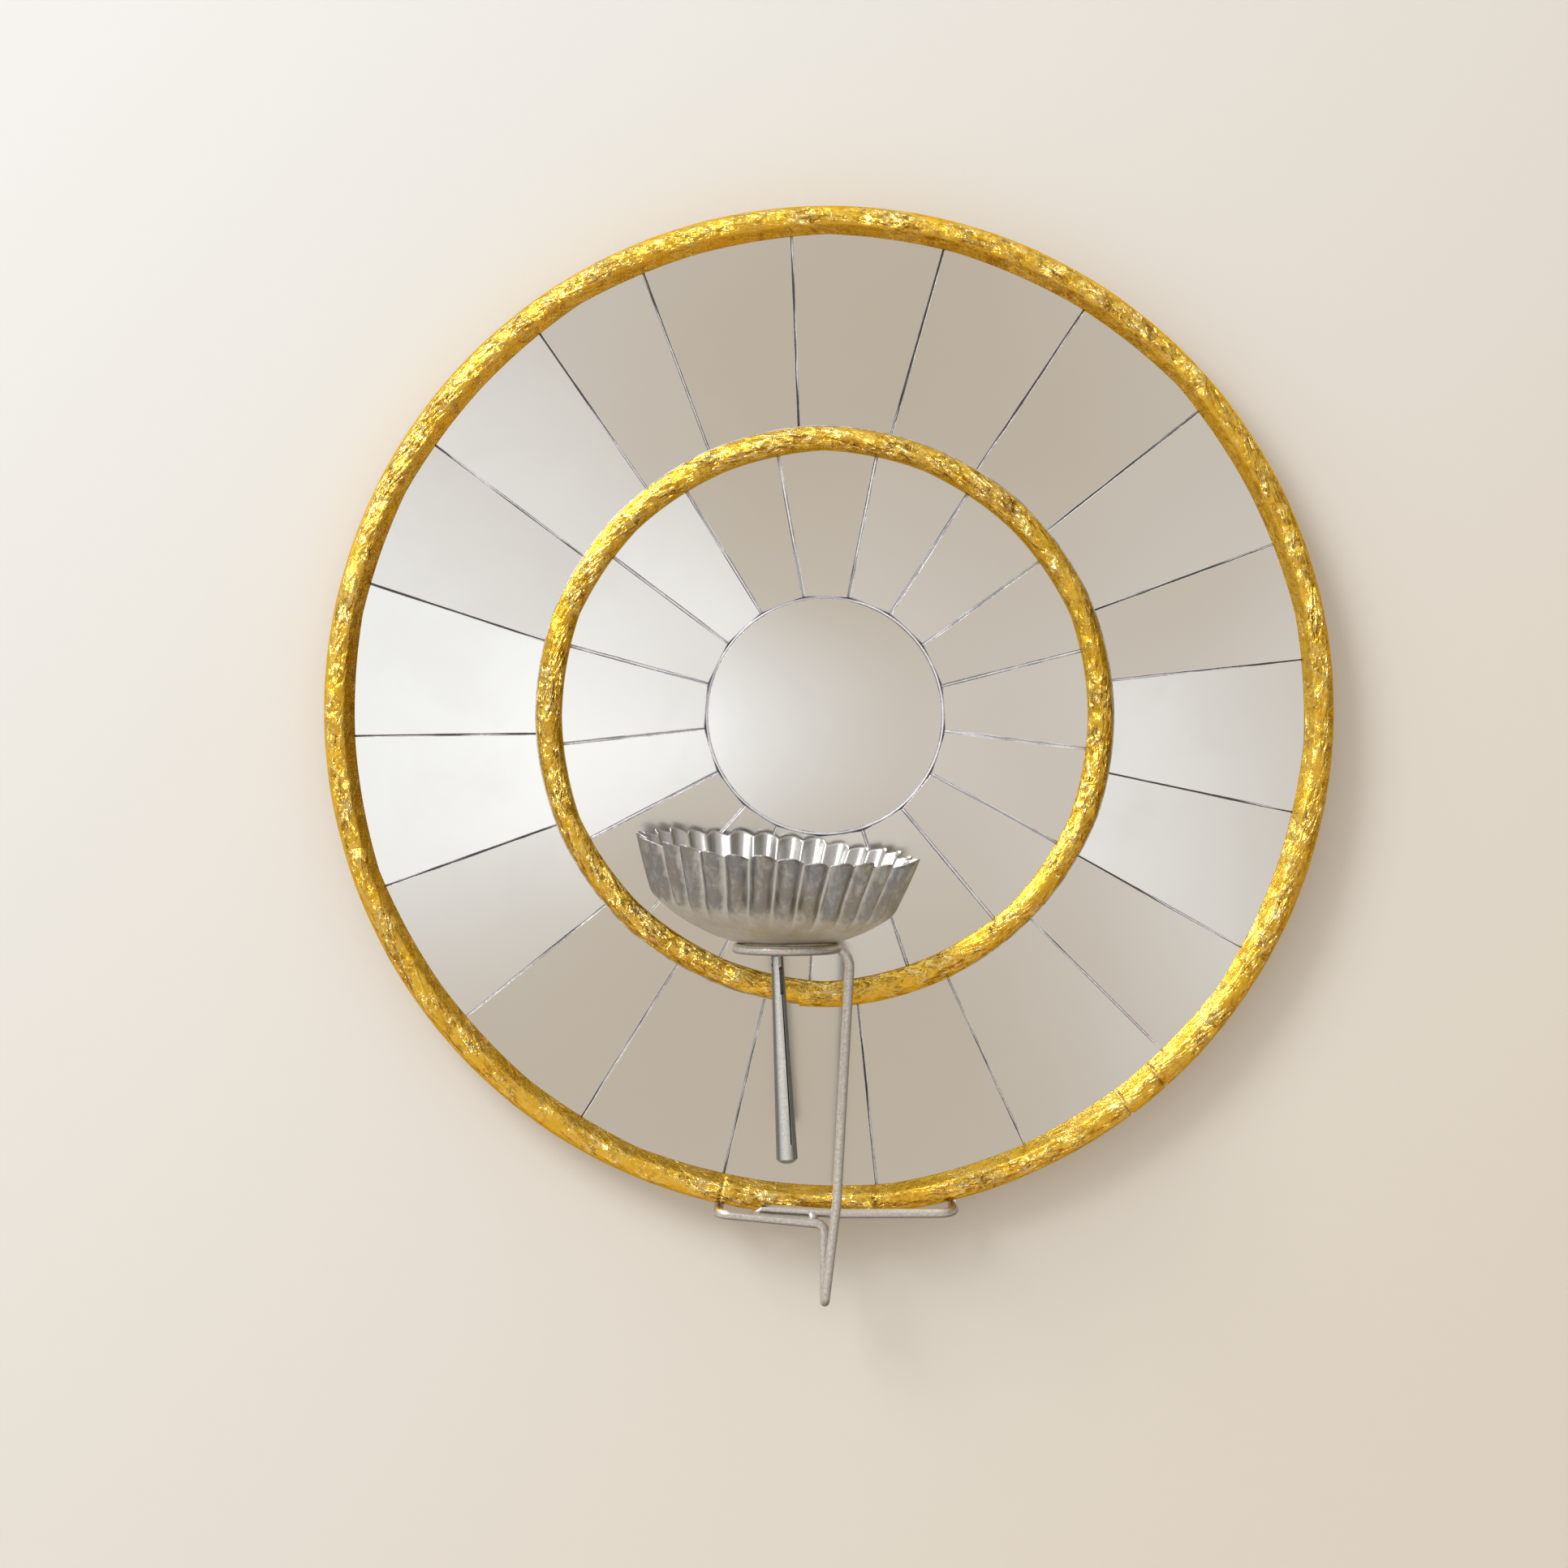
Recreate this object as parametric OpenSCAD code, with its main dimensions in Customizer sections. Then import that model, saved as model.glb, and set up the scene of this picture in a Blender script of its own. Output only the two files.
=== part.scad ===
// Round wall mirror: radiating glass pieces between two gold foil rings, with a
// fluted tin cup that sits in a wire holder hooked round the lower edge.
// X is to the right, Z is up and the glass faces -Y. The wall is the plane Y = 0.

/* [Mirror] */
// Diameter over the outer gold ring
mirror_d = 430; // [380:5:480]
// Width of the outer gold ring
outer_ring_w = 12.5; // [11:0.5:16]
// Diameter over the inner gold ring
inner_ring_d = 246; // [230:2:260]
// Width of the inner gold ring
inner_ring_w = 10.5; // [9:0.5:14]
// Height of both gold rings above the glass
ring_h = 6; // [4:0.5:8]
// How far the hand-laid edges of the gold rings wander
ring_wobble = 1; // [0:0.1:1.5]
// Diameter of the round centre glass
centre_d = 100; // [80:1:120]
// Number of glass pieces in the outer circle
outer_count = 20; // [18:1:20]
// Number of glass pieces in the inner circle
inner_count = 17; // [15:1:17]
// Gap between neighbouring glass pieces
glass_gap = 0.7; // [0.3:0.1:1.2]
// Sideways place of the inner ring's centre
inner_x = -1.7; // [-4:0.1:4]
// Height of the inner ring's centre
inner_z = -2.1; // [-4:0.1:4]

/* [Layers] */
// Thickness of the glass
glass_t = 3; // [2:0.5:5]
// Thickness of the adhesive bed under the glass
bed_t = 1; // [0.5:0.1:2]
// Thickness of the plywood board
board_t = 6; // [5:0.5:9]
// Thickness of the spacer disc between the board and the wall
spacer_t = 8; // [7.5:0.5:12]
// Diameter of the spacer disc
spacer_d = 280; // [250:5:300]
// Thickness of the gold ring outside the edge of the board
wrap_t = 4.7; // [3:0.1:6]

/* [Wire holder] */
// Diameter of the wire
wire_d = 4; // [3:0.1:4.5]
// Radius of the ring that carries the cup, at the middle of the wire
cup_ring_r = 20; // [17:0.5:24]
// Sideways place of the cup ring's centre
cup_ring_x = -18; // [-26:0.5:-10]
// Distance of the cup ring's centre in front of the glass
cup_reach = 75; // [72:1:90]
// Distance of the cup ring below the middle of the mirror
cup_ring_drop = 96.7; // [90:0.1:110]
// Distance of the right hook from the middle
hook_right = 53; // [45:0.5:60]
// Distance of the left hook from the middle
hook_left = 47; // [42:0.5:55]
// How far the wire rises behind the board, above the lowest edge
loop_rise = 40; // [34:0.5:46]
// How far the lowest bend of the wire hangs below the gold ring
wire_hang = 35.5; // [28:0.5:45]

/* [Cup] */
// Diameter of the tin over its flutes at the rim
tin_rim_d = 115; // [100:1:124]
// Diameter of the tin where its round base meets the wall
tin_corner_d = 98; // [88:1:100]
// Height of the tin
tin_h = 40.7; // [36:0.1:46]
// Radius of the ball that the round base is part of
tin_ball_r = 77; // [70:1:90]
// Thickness of the sheet
tin_t = 0.6; // [0.5:0.1:1]
// Number of flutes
flute_count = 32; // [24:1:34]
// Depth of the flutes at the rim
flute_depth = 4.2; // [2:0.1:5]
// How much higher the rim is on a flute than between two
rim_wave = 1.8; // [0:0.1:2.4]
// Angle at which the cup leans to the right
tin_roll = 5.5; // [0:0.5:6]
// Angle at which the cup leans to the front
tin_pitch = 3.5; // [0:0.5:5]

/* [Counterweight] */
// Distance of the hanging stud from the middle of the base
stud_offset = 3.7; // [0:0.1:6]
// Diameter of the stud's shank
stud_d = 3; // [2.5:0.1:3.5]
// Length of the weight below its pivot
weight_l = 80; // [60:1:90]
// Diameter of the weight at its top
weight_top_d = 4.8; // [4.4:0.1:6]
// Diameter of the weight at its foot
weight_foot_d = 8.6; // [7:0.1:10]
// Diameter of the swing pin
pin_d = 1.5; // [1.2:0.1:1.8]
// Width of the slot in the top of the weight
slot_w = 1.5; // [1.4:0.1:1.8]
// Depth of the slot below the pivot
slot_l = 12; // [8:1:20]
// Angle by which the slot is turned to the right, seen from the front
slot_turn = 28; // [0:1:35]
// Angle at which the weight hangs out of the vertical
weight_lean = 2.8; // [0:0.1:3]

/* [Hanging] */
// Height of the keyhole's round hole above the middle
keyhole_z = 100; // [80:1:110]
// Diameter of the round hole that the wall screw's head goes through
keyhole_d = 9; // [8:0.5:10]
// Width of the slot that hooks over the screw
keyhole_slot_w = 4.5; // [4:0.1:5]
// Length of the slot
keyhole_slot_l = 8; // [7:0.5:10]
// Thickness of the hanging plate
plate_t = 1.5; // [1.2:0.1:2]

/* [Hidden] */
$fn = 96;

// Clearance between pieces that are laid against each other
lay_gap = 0.3;
// Clearance between a screw and its hole
screw_gap = 0.05;
// Running clearance of the swing pin
pin_gap = 0.05;
// Clearance between the cup and its wire ring
seat_gap = 0.3;
// How far a cut runs past what it cuts
over = 1;

// Planes of the layers, from the wall to the glass
board_back_y = -spacer_t;
board_front_y = board_back_y - board_t;
glass_back_y = board_front_y - bed_t;
face_y = glass_back_y - glass_t;

// Radii of the mirror's layers
mirror_r = mirror_d / 2;
wrap_gap = 0.5;
glass_set_in = 0.5;
board_r = mirror_r - wrap_t - wrap_gap;
outer_glass_r = board_r - glass_set_in;
// The two circles of glass meet under the middle of the inner ring
inner_ring_r = inner_ring_d / 2;
circle_gap = 2.5;
outer_glass_in_r = inner_ring_r - (inner_ring_w - circle_gap) / 2;
inner_glass_out_r = inner_ring_r - (inner_ring_w + circle_gap) / 2;
centre_gap = 0.6;

// Hand-cut glass: place of the first seam, and the pieces whose width is odd
outer_first_seam = 13.9;
outer_odd_widths = [[4, 14.4], [6, 17.5], [7, 15.7], [8, 20.2], [18, 14.5]];
inner_first_seam = 11.3;
inner_odd_widths = [[9, 20.2], [10, 18.4], [11, 20.6]];
// The outer seams don't run quite to the centre: mean skew, its swing, where it is largest, and
// how far outside the middle of the outer circle the seams are turned
seam_skew = 1.2;
seam_skew_swing = 1.75;
seam_skew_at = 310;
seam_turn_out = 28;
seam_mid_r = (outer_glass_r + outer_glass_in_r) / 2 + seam_turn_out;

// Steps round the gold rings and across their crowns
outer_ring_steps = 96;
inner_ring_steps = 72;
crown_steps = 8;
crown_fullness = 0.75;
// The outer ring's edge reaches back over the board's side, but for its last bit, and draws in
wrap_short = 1;
wrap_draft = 0.4;
wrap_back = board_t + bed_t + glass_t - wrap_short;
// The inner ring's foil ends lap at the bottom: where, how far and over what angle
lap_at = 185;
lap_step = 1.2;
lap_span = 45;

// Wire holder
wire_r = wire_d / 2;
wire_sides = 12;
bend_steps = 5;
ring_steps = 30;
hook_clear = 0.6;
wire_lay = 0.1;
// Bar: its height on the ring, its cut end and the slight bow near its middle
bar_tuck = 2.4;
bar_z = bar_tuck - mirror_r;
bar_y = face_y - ring_h - wire_r - hook_clear;
cut_end_x = -33;
cut_end_rise = 2;
bar_bow_x = 4;
bar_bow = 0.2;
// Left run: it crosses in front of the bar and is welded to it, a little sunk in
crossing_depth = 0.85 * wire_d;
run_y = bar_y - crossing_depth;
run_drop = 4.2;
crossing_weld_x = -7;
crossing_weld_lift = 0.6;
weld_r = 0.55 * wire_d;
// Lowest bend and leg: where they hang, and the knee of the leg above the bend
spine_x = -2;
bottom_z = wire_r - mirror_r - wire_hang;
leg_y = run_y - 2 * wire_d;
knee_x = 2.7;
knee_out = 12;
knee_rise = 43;
leg_top_out = 26;
// Loop behind the board, narrower at its top
loop_y = board_back_y + wire_r + wire_lay;
loop_z = loop_rise - mirror_r;
loop_taper = 3.5;
// Cup ring
cup_ring_y = face_y - cup_reach;
cup_ring_z = -cup_ring_drop;
ring_back_y = cup_ring_y + cup_ring_r;
ring_close_angle = 45;
// Bend radii
tight_bend = 4;
run_bend = 5;
hook_bend = 7;
loop_bend = 8;
leg_top_bend = 9;
bar_bend = 60;
knee_bend = 90;

// The wire's route, from the cut end to the cup ring: corner, bend radius
wire_route = [
    [[cut_end_x, bar_y, bar_z + cut_end_rise], 0],
    [[bar_bow_x, bar_y, bar_z - bar_bow], bar_bend],
    [[hook_right, bar_y, bar_z], hook_bend],
    [[hook_right, loop_y, hook_z(hook_right)], tight_bend],
    [[hook_right - loop_taper, loop_y, loop_z], loop_bend],
    [[loop_taper - hook_left, loop_y, loop_z], loop_bend],
    [[-hook_left, loop_y, hook_z(hook_left)], tight_bend],
    [[-hook_left, run_y, hook_z(hook_left)], run_bend],
    [[spine_x, run_y, bar_z - run_drop], tight_bend],
    [[spine_x, run_y, bottom_z], tight_bend],
    [[spine_x, leg_y, bottom_z], tight_bend],
    [[knee_x, leg_y - knee_out, bottom_z + knee_rise], knee_bend],
    [[cup_ring_x + leg_top_out, ring_back_y, cup_ring_z], leg_top_bend],
    [[cup_ring_x, ring_back_y, cup_ring_z], 0]
];

// Cup: the middle of its ball lies straight above the middle of the cup ring
ball_h = sqrt(pow(tin_ball_r + wire_r + seat_gap, 2) - pow(cup_ring_r, 2));
ball_centre = [cup_ring_x, cup_ring_y, cup_ring_z + ball_h];
flute_points = 6;
tin_columns = flute_count * flute_points;
// Rows of the base: share of the corner's radius, share of the flutes' depth
base_rows = [[0.12, 0], [0.37, 0], [0.6, 0], [0.8, 0], [0.91, 0.35], [1, 0.75]];
// Rows of the wall: share of the way to the rim, share of the flutes' depth
wall_rows = [[0.25, 1], [1, 1]];

// Stud, washer, pin and weight under the cup
stud_angle = asin(stud_offset / tin_ball_r);
head_d = 9;
head_tip = 0.55;
head_h = 1.8;
head_gap = 0.4;
head_seat = tin_t + head_gap;
washer_d = 9;
washer_t = 0.6;
flange_d = 6;
flange_t = 1;
stud_hole_gap = 0.15;
pivot_drop = 6.8;
fork_top = 3.8;
slot_gap = 0.15;
tongue_w = slot_w - 2 * slot_gap;
tongue_d = 4.2;
tongue_root = 0.5;
pin_short = 0.3;
top_bevel = 0.5;
foot_chamfer = 1.1;
foot_crown = 0.9;
seam_w = 0.5;
seam_depth = 0.5;
seam_short = 8;
stud_foot = tilted([tin_ball_r * sin(stud_angle), 0, -tin_ball_r * cos(stud_angle)]) + ball_centre;
pivot = stud_foot - [0, 0, pivot_drop];

// Hanging plate, its pocket and its screws
plate_w = 46;
plate_h = 30;
plate_screw_x = 17;
pocket_w = 24;
pocket_h = 21;
pocket_depth = 5;
plate_z = keyhole_z + keyhole_slot_l / 2;

// Screws: shank diameter, head diameter, head height
spacer_screw = [3.5, 7, 2.2];
small_screw = [2.5, 5, 1.5];
spacer_screw_r = 112;
plate_screw_bite = 4.5;
screw_short = 1.5;
spacer_screw_l = spacer_t + board_t - screw_short;
plate_screw_l = plate_t + plate_screw_bite;
saddle_screw_l = board_t - screw_short;
pan_h = 1.35;
pan_round = 1;

// Saddles that hold the wire to the board
saddle_x = [-22, 26];
saddle_t = 0.8;
saddle_w = 10;
saddle_foot = 8;
saddle_screw_z = wire_r + saddle_t + saddle_foot / 2 + 0.6;

function two_digits(n) = n < 10 ? str("0", n) : str(n);

// Height at which a hook passes under the gold ring, at a distance from the middle
function hook_z(x) = -sqrt(pow(mirror_r, 2) - pow(x, 2)) - wire_r - hook_clear;

// A vector turned as the cup leans: to the front first, then to the right
function tilted(v) =
    let (y = v[1] * cos(tin_pitch) - v[2] * sin(tin_pitch))
    let (z = v[1] * sin(tin_pitch) + v[2] * cos(tin_pitch))
    [v[0] * cos(tin_roll) + z * sin(tin_roll), y, z * cos(tin_roll) - v[0] * sin(tin_roll)];

// Widths of the pieces of one circle: the odd ones as listed, the others share the rest
function is_odd(i, odd) = len([for (o = odd) if (o[0] == i) o]) > 0;
function odd_width(i, odd) = [for (o = odd) if (o[0] == i) o[1]][0];
function sum(list, i = 0) = i < len(list) ? list[i] + sum(list, i + 1) : 0;
function shared_width(count, odd) =
    let (used = [for (o = odd) if (o[0] <= count) o[1]])
    (360 - sum(used)) / (count - len(used));
function widths(count, odd) =
    [for (i = [1 : count]) is_odd(i, odd) ? odd_width(i, odd) : shared_width(count, odd)];
function seams(count, first, odd) =
    let (w = widths(count, odd))
    [for (i = 0, a = first; i <= count; a = a + (i < count ? w[i] : 0), i = i + 1) a];

// Direction on the glass at an angle clockwise from the top, as [x, z]
function clockwise(a) = [sin(a), cos(a)];
function left_of(v) = [-v[1], v[0]];
// Where a line from p along u leaves a circle of radius r about c
function line_out(p, u, c, r) =
    let (d = p - c)
    let (b = d * u)
    p + u * (sqrt(b * b - d * d + r * r) - b);

outer_seams = seams(outer_count, outer_first_seam, outer_odd_widths);
inner_seams = seams(inner_count, inner_first_seam, inner_odd_widths);
inner_centre = [inner_x, inner_z];

// Both ends of an outer seam, moved sideways by half the gap
function outer_seam_ends(a, side) =
    let (u = clockwise(a + seam_skew + seam_skew_swing * cos(a - seam_skew_at)))
    let (p = seam_mid_r * clockwise(a) + left_of(u) * side * glass_gap / 2)
    [line_out(p, u, inner_centre, outer_glass_in_r), line_out(p, u, [0, 0], outer_glass_r)];

// Both ends of an inner seam; the piece's inner end is straight, square to its middle
function inner_seam_ends(a, middle, side) =
    let (u = clockwise(a))
    let (p = inner_centre + left_of(u) * side * glass_gap / 2)
    let (m = clockwise(middle))
    let (reach = centre_d / 2 + centre_gap - (p - inner_centre) * m)
    [p + u * reach / (u * m), line_out(p, u, inner_centre, inner_glass_out_r)];

module glass_plate(outline) {
    translate([0, glass_back_y, 0])
        rotate([90, 0, 0])
            linear_extrude(height = glass_t)
                polygon(outline);
}

module outer_mirror(i) {
    first = outer_seam_ends(outer_seams[i - 1], -1);
    last = outer_seam_ends(outer_seams[i], 1);
    color("gainsboro")
        glass_plate([first[0], first[1], last[1], last[0]]);
}

module inner_mirror(i) {
    middle = (inner_seams[i - 1] + inner_seams[i]) / 2;
    first = inner_seam_ends(inner_seams[i - 1], middle, -1);
    last = inner_seam_ends(inner_seams[i], middle, 1);
    color("lightgray")
        glass_plate([first[0], first[1], last[1], last[0]]);
}

module centre_mirror() {
    color("whitesmoke")
        translate([inner_x, glass_back_y, inner_z])
            rotate([90, 0, 0])
                cylinder(d = centre_d, h = glass_t);
}

// Faces of a skin over rows of points; the rows are closed, and the last row joins the first
function band(a, b, n) =
    [for (j = [0 : n - 1])
        let (k = (j + 1) % n)
        each [[a * n + j, a * n + k, b * n + k], [a * n + j, b * n + k, b * n + j]]];

module looped_skin(rows) {
    n = len(rows[0]);
    count = len(rows);
    polyhedron(
        points = [for (row = rows) each row],
        faces = [for (i = [0 : count - 1]) each band(i, (i + 1) % count, n)],
        convexity = 6
    );
}

// The same with a flat cap over the first and the last row
module capped_skin(rows) {
    n = len(rows[0]);
    count = len(rows);
    polyhedron(
        points = [for (row = rows) each row],
        faces = concat(
            [[for (j = [n - 1 : -1 : 0]) j]],
            [for (i = [0 : count - 2]) each band(i, i + 1, n)],
            [[for (j = [0 : n - 1]) (count - 1) * n + j]]
        ),
        convexity = 6
    );
}

// Crown of a gold ring, as [radius, height]; edge_in and edge_out move its two edges
function crown(r_in, r_out, edge_in, edge_out) =
    [for (j = [0 : crown_steps])
        let (a = 180 * j / crown_steps)
        let (share = (1 - cos(a)) / 2)
        [r_in + edge_in * (1 - share) + (r_out - r_in) * share + edge_out * share,
         j == 0 || j == crown_steps ? 0 : ring_h * pow(sin(a), crown_fullness)]];

// A profile stood up at an angle clockwise from the top, about a centre
function stood_up(profile, a, centre) =
    [for (p = profile) [centre[0] + p[0] * sin(a), face_y - p[1], centre[1] + p[0] * cos(a)]];

function outer_wander(a) = ring_wobble * (0.6 * sin(5 * a + 40) + 0.4 * sin(11 * a + 200));
function inner_wander(a) = ring_wobble * (0.6 * sin(4 * a + 150) + 0.4 * sin(9 * a + 60));
function lap(a) = a > lap_at || a < lap_at - lap_span ? 0 : lap_step * (a - lap_at + lap_span) / lap_span;

module outer_gold_ring() {
    wrap_r = mirror_r - wrap_t;
    color("goldenrod")
        looped_skin([for (i = [0 : outer_ring_steps - 1])
            let (a = 360 * i / outer_ring_steps)
            stood_up(
                concat(
                    crown(mirror_r - outer_ring_w, mirror_r, outer_wander(a), 0),
                    [[mirror_r - wrap_draft, -wrap_back], [wrap_r, -wrap_back], [wrap_r, 0]]
                ), a, [0, 0])]);
}

module inner_gold_ring() {
    color("goldenrod")
        looped_skin([for (i = [0 : inner_ring_steps - 1])
            let (a = 360 * i / inner_ring_steps)
            stood_up(
                crown(inner_ring_r - inner_ring_w, inner_ring_r, inner_wander(a),
                      0.5 * inner_wander(a + 70) + lap(a)),
                a, inner_centre)]);
}

module disc(r, back_y, t) {
    translate([0, back_y, 0])
        rotate([90, 0, 0])
            cylinder(r = r, h = t);
}

module adhesive_bed() {
    color("silver")
        disc(board_r, board_front_y, bed_t);
}

// Something repeated at the places of the spacer's screws
module at_spacer_screws(y) {
    for (a = [45 : 90 : 315])
        translate([spacer_screw_r * sin(a), y, spacer_screw_r * cos(a)])
            children();
}

module at_plate_screws(y) {
    for (x = [-plate_screw_x, plate_screw_x])
        translate([x, y, plate_z])
            children();
}

module at_saddle_screws(y) {
    for (x = saddle_x, side = [-1, 1])
        translate([x, y, loop_z + side * saddle_screw_z])
            children();
}

// Countersunk screw driven along -Y, with its head's face at the origin
module screw(kind, l, gap = 0) {
    rotate([90, 0, 0]) {
        cylinder(d1 = kind[1] + 2 * gap, d2 = kind[0] + 2 * gap, h = kind[2]);
        cylinder(d = kind[0] + 2 * gap, h = l + gap);
    }
}

// Pan-headed screw driven along -Y, with its seat at the origin
module pan_screw(kind, l, gap = 0) {
    rotate([90, 0, 0])
        cylinder(d = kind[0] + 2 * gap, h = l + gap);
    rotate([-90, 0, 0])
        cylinder(d1 = kind[1], d2 = kind[1] - pan_round, h = pan_h);
}

module back_board() {
    color("burlywood")
        difference() {
            disc(board_r, board_back_y, board_t);
            at_spacer_screws(0)
                screw(spacer_screw, spacer_screw_l, screw_gap);
            at_saddle_screws(board_back_y)
                screw([small_screw[0], small_screw[0], 1], saddle_screw_l, screw_gap);
        }
}

module back_spacer() {
    color("tan")
        difference() {
            disc(spacer_d / 2, 0, spacer_t);
            at_spacer_screws(0)
                screw(spacer_screw, spacer_screw_l, screw_gap);
            translate([-plate_w / 2 - screw_gap, -plate_t, plate_z - plate_h / 2 - screw_gap])
                cube([plate_w + 2 * screw_gap, plate_t + over, plate_h + 2 * screw_gap]);
            translate([-pocket_w / 2, -plate_t - pocket_depth, keyhole_z - pocket_w / 2])
                cube([pocket_w, pocket_depth + over, keyhole_slot_l + pocket_h]);
            at_plate_screws(0)
                screw(small_screw, plate_screw_l, screw_gap);
        }
}

module spacer_screws() {
    color("dimgray")
        at_spacer_screws(0)
            screw(spacer_screw, spacer_screw_l);
}

module plate_screws() {
    color("dimgray")
        at_plate_screws(0)
            screw(small_screw, plate_screw_l);
}

module hanging_plate() {
    color("darkgray")
        difference() {
            translate([-plate_w / 2, -plate_t, plate_z - plate_h / 2])
                cube([plate_w, plate_t, plate_h]);
            translate([0, over, keyhole_z])
                rotate([90, 0, 0])
                    cylinder(d = keyhole_d, h = plate_t + 2 * over);
            translate([-keyhole_slot_w / 2, -plate_t - over, keyhole_z])
                cube([keyhole_slot_w, plate_t + 2 * over, keyhole_slot_l]);
            translate([0, over, keyhole_z + keyhole_slot_l])
                rotate([90, 0, 0])
                    cylinder(d = keyhole_slot_w, h = plate_t + 2 * over);
            at_plate_screws(0)
                screw(small_screw, plate_screw_l, screw_gap);
        }
}

// Points of a route whose corners are rounded, with the bend as an arc
function unit(v) = v / norm(v);
function corner_points(before, corner, after, radius) =
    let (u = unit(corner - before))
    let (v = unit(after - corner))
    let (turn = acos(u * v))
    let (reach = radius * tan(turn / 2))
    let (inward = unit(v - u))
    let (middle = corner + inward * radius / cos(turn / 2))
    let (start = corner - u * reach - middle)
    [for (k = [0 : bend_steps])
        let (a = turn * k / bend_steps)
        middle + start * cos(a) + u * radius * sin(a)];
function rounded_route(route) =
    [for (i = [0 : len(route) - 1])
        each (route[i][1] == 0 || i == 0 || i == len(route) - 1
            ? [route[i][0]]
            : corner_points(route[i - 1][0], route[i][0], route[i + 1][0], route[i][1]))];

// The cup ring, from its back round the left and the front to the right
function ring_points() =
    [for (k = [1 : ring_steps])
        let (a = 90 + (270 + ring_close_angle) * k / ring_steps)
        [cup_ring_x + cup_ring_r * cos(a), cup_ring_y + cup_ring_r * sin(a), cup_ring_z]];

// Tube round a list of points; each ring's first spoke is carried along without twist
module tube(path, r, sides) {
    last = len(path) - 1;
    ways = [for (i = [0 : last]) unit(path[min(i + 1, last)] - path[max(i - 1, 0)])];
    first = unit(cross(ways[0], [0, 0.3, 1]));
    spokes = [for (i = 0, s = first; i <= last;
                   i = i + 1, s = i <= last ? unit(s - ways[i] * (s * ways[i])) : s) s];
    capped_skin([for (i = [0 : last])
        let (across = cross(ways[i], spokes[i]))
        [for (j = [0 : sides - 1])
            let (a = 360 * j / sides)
            path[i] + r * (spokes[i] * cos(a) - across * sin(a))]]);
}

module wire_holder() {
    color("darkgray") {
        tube(concat(rounded_route(wire_route), ring_points()), wire_r, wire_sides);
        translate([crossing_weld_x, (bar_y + run_y) / 2, bar_z - run_drop / 2 + crossing_weld_lift])
            sphere(r = weld_r, $fn = 24);
        translate([cup_ring_x + cup_ring_r * cos(ring_close_angle),
                   (ring_back_y + cup_ring_y + cup_ring_r * sin(ring_close_angle)) / 2, cup_ring_z])
            sphere(r = weld_r, $fn = 24);
    }
}

// Strap over the wire with a foot on the board at either side
module wire_saddles() {
    inner_r = wire_r + wire_lay;
    outer_r = inner_r + saddle_t;
    color("silver")
        difference() {
            for (x = saddle_x)
                translate([x - saddle_w / 2, loop_y, loop_z])
                    rotate([0, 90, 0])
                        linear_extrude(height = saddle_w)
                            difference() {
                                union() {
                                    circle(r = outer_r);
                                    translate([-outer_r, board_back_y - loop_y])
                                        square([2 * outer_r, loop_y - board_back_y]);
                                    translate([-outer_r - saddle_foot, board_back_y - loop_y])
                                        square([2 * (outer_r + saddle_foot), saddle_t]);
                                }
                                circle(r = inner_r);
                                translate([-inner_r, board_back_y - loop_y - over])
                                    square([2 * inner_r, loop_y - board_back_y + over]);
                            }
            at_saddle_screws(board_back_y + saddle_t)
                screw([small_screw[0], small_screw[0], 1], saddle_screw_l, screw_gap);
        }
}

module saddle_screws() {
    color("dimgray")
        at_saddle_screws(board_back_y + saddle_t)
            pan_screw(small_screw, saddle_screw_l);
}

// Cup. A flute is 0 deep on its crest and 1 between two crests
function flute(j) = 1 - abs(sin(180 * j / flute_points));
function base_point(share) =
    let (r = share * tin_corner_d / 2)
    [r, tin_ball_r - sqrt(pow(tin_ball_r, 2) - r * r)];
function tin_row(p, depth, inset, wave) =
    [for (j = [0 : tin_columns - 1])
        let (a = 360 * j / tin_columns)
        let (r = p[0] - inset - flute_depth * depth * flute(j))
        [r * sin(a), r * cos(a), p[1] + wave * (1 - flute(j)) - tin_ball_r]];
function wall_point(share) =
    let (corner = base_point(1))
    [corner[0] + (tin_rim_d / 2 - corner[0]) * share,
     corner[1] + (tin_h - rim_wave - corner[1]) * share];
inner_share = (tin_ball_r - tin_t) / tin_ball_r;
function inner_base_point(share) =
    let (p = base_point(share))
    [p[0] * inner_share, tin_ball_r - (tin_ball_r - p[1]) * inner_share];
function outer_tin_rows() = concat(
    [for (row = base_rows) tin_row(base_point(row[0]), row[1], 0, 0)],
    [for (row = wall_rows) tin_row(wall_point(row[0]), row[1], 0, row[0] == 1 ? rim_wave : 0)]);
function inner_tin_rows() = concat(
    [for (i = [len(wall_rows) - 1 : -1 : 0])
        let (row = wall_rows[i])
        tin_row(wall_point(row[0]), row[1], tin_t, row[0] == 1 ? rim_wave : 0)],
    [for (i = [len(base_rows) - 1 : -1 : 0])
        let (row = base_rows[i])
        tin_row(inner_base_point(row[0]), row[1], 0, 0)]);

// The cup's own frame: its ball's middle at the origin, leaning as it sits in the ring
module in_cup_frame() {
    translate(ball_centre)
        rotate([tin_pitch, tin_roll, 0])
            children();
}

// The stud's frame: square to the round base, with its outer face at the origin
module in_stud_frame() {
    in_cup_frame()
        rotate([0, -stud_angle, 0])
            translate([0, 0, -tin_ball_r])
                children();
}

module cup_tin() {
    color("silver")
        difference() {
            in_cup_frame()
                capped_skin(concat(outer_tin_rows(), inner_tin_rows()));
            in_stud_frame()
                translate([0, 0, -over])
                    cylinder(d = stud_d + 2 * stud_hole_gap, h = tin_t + 2 * over);
        }
}

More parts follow.
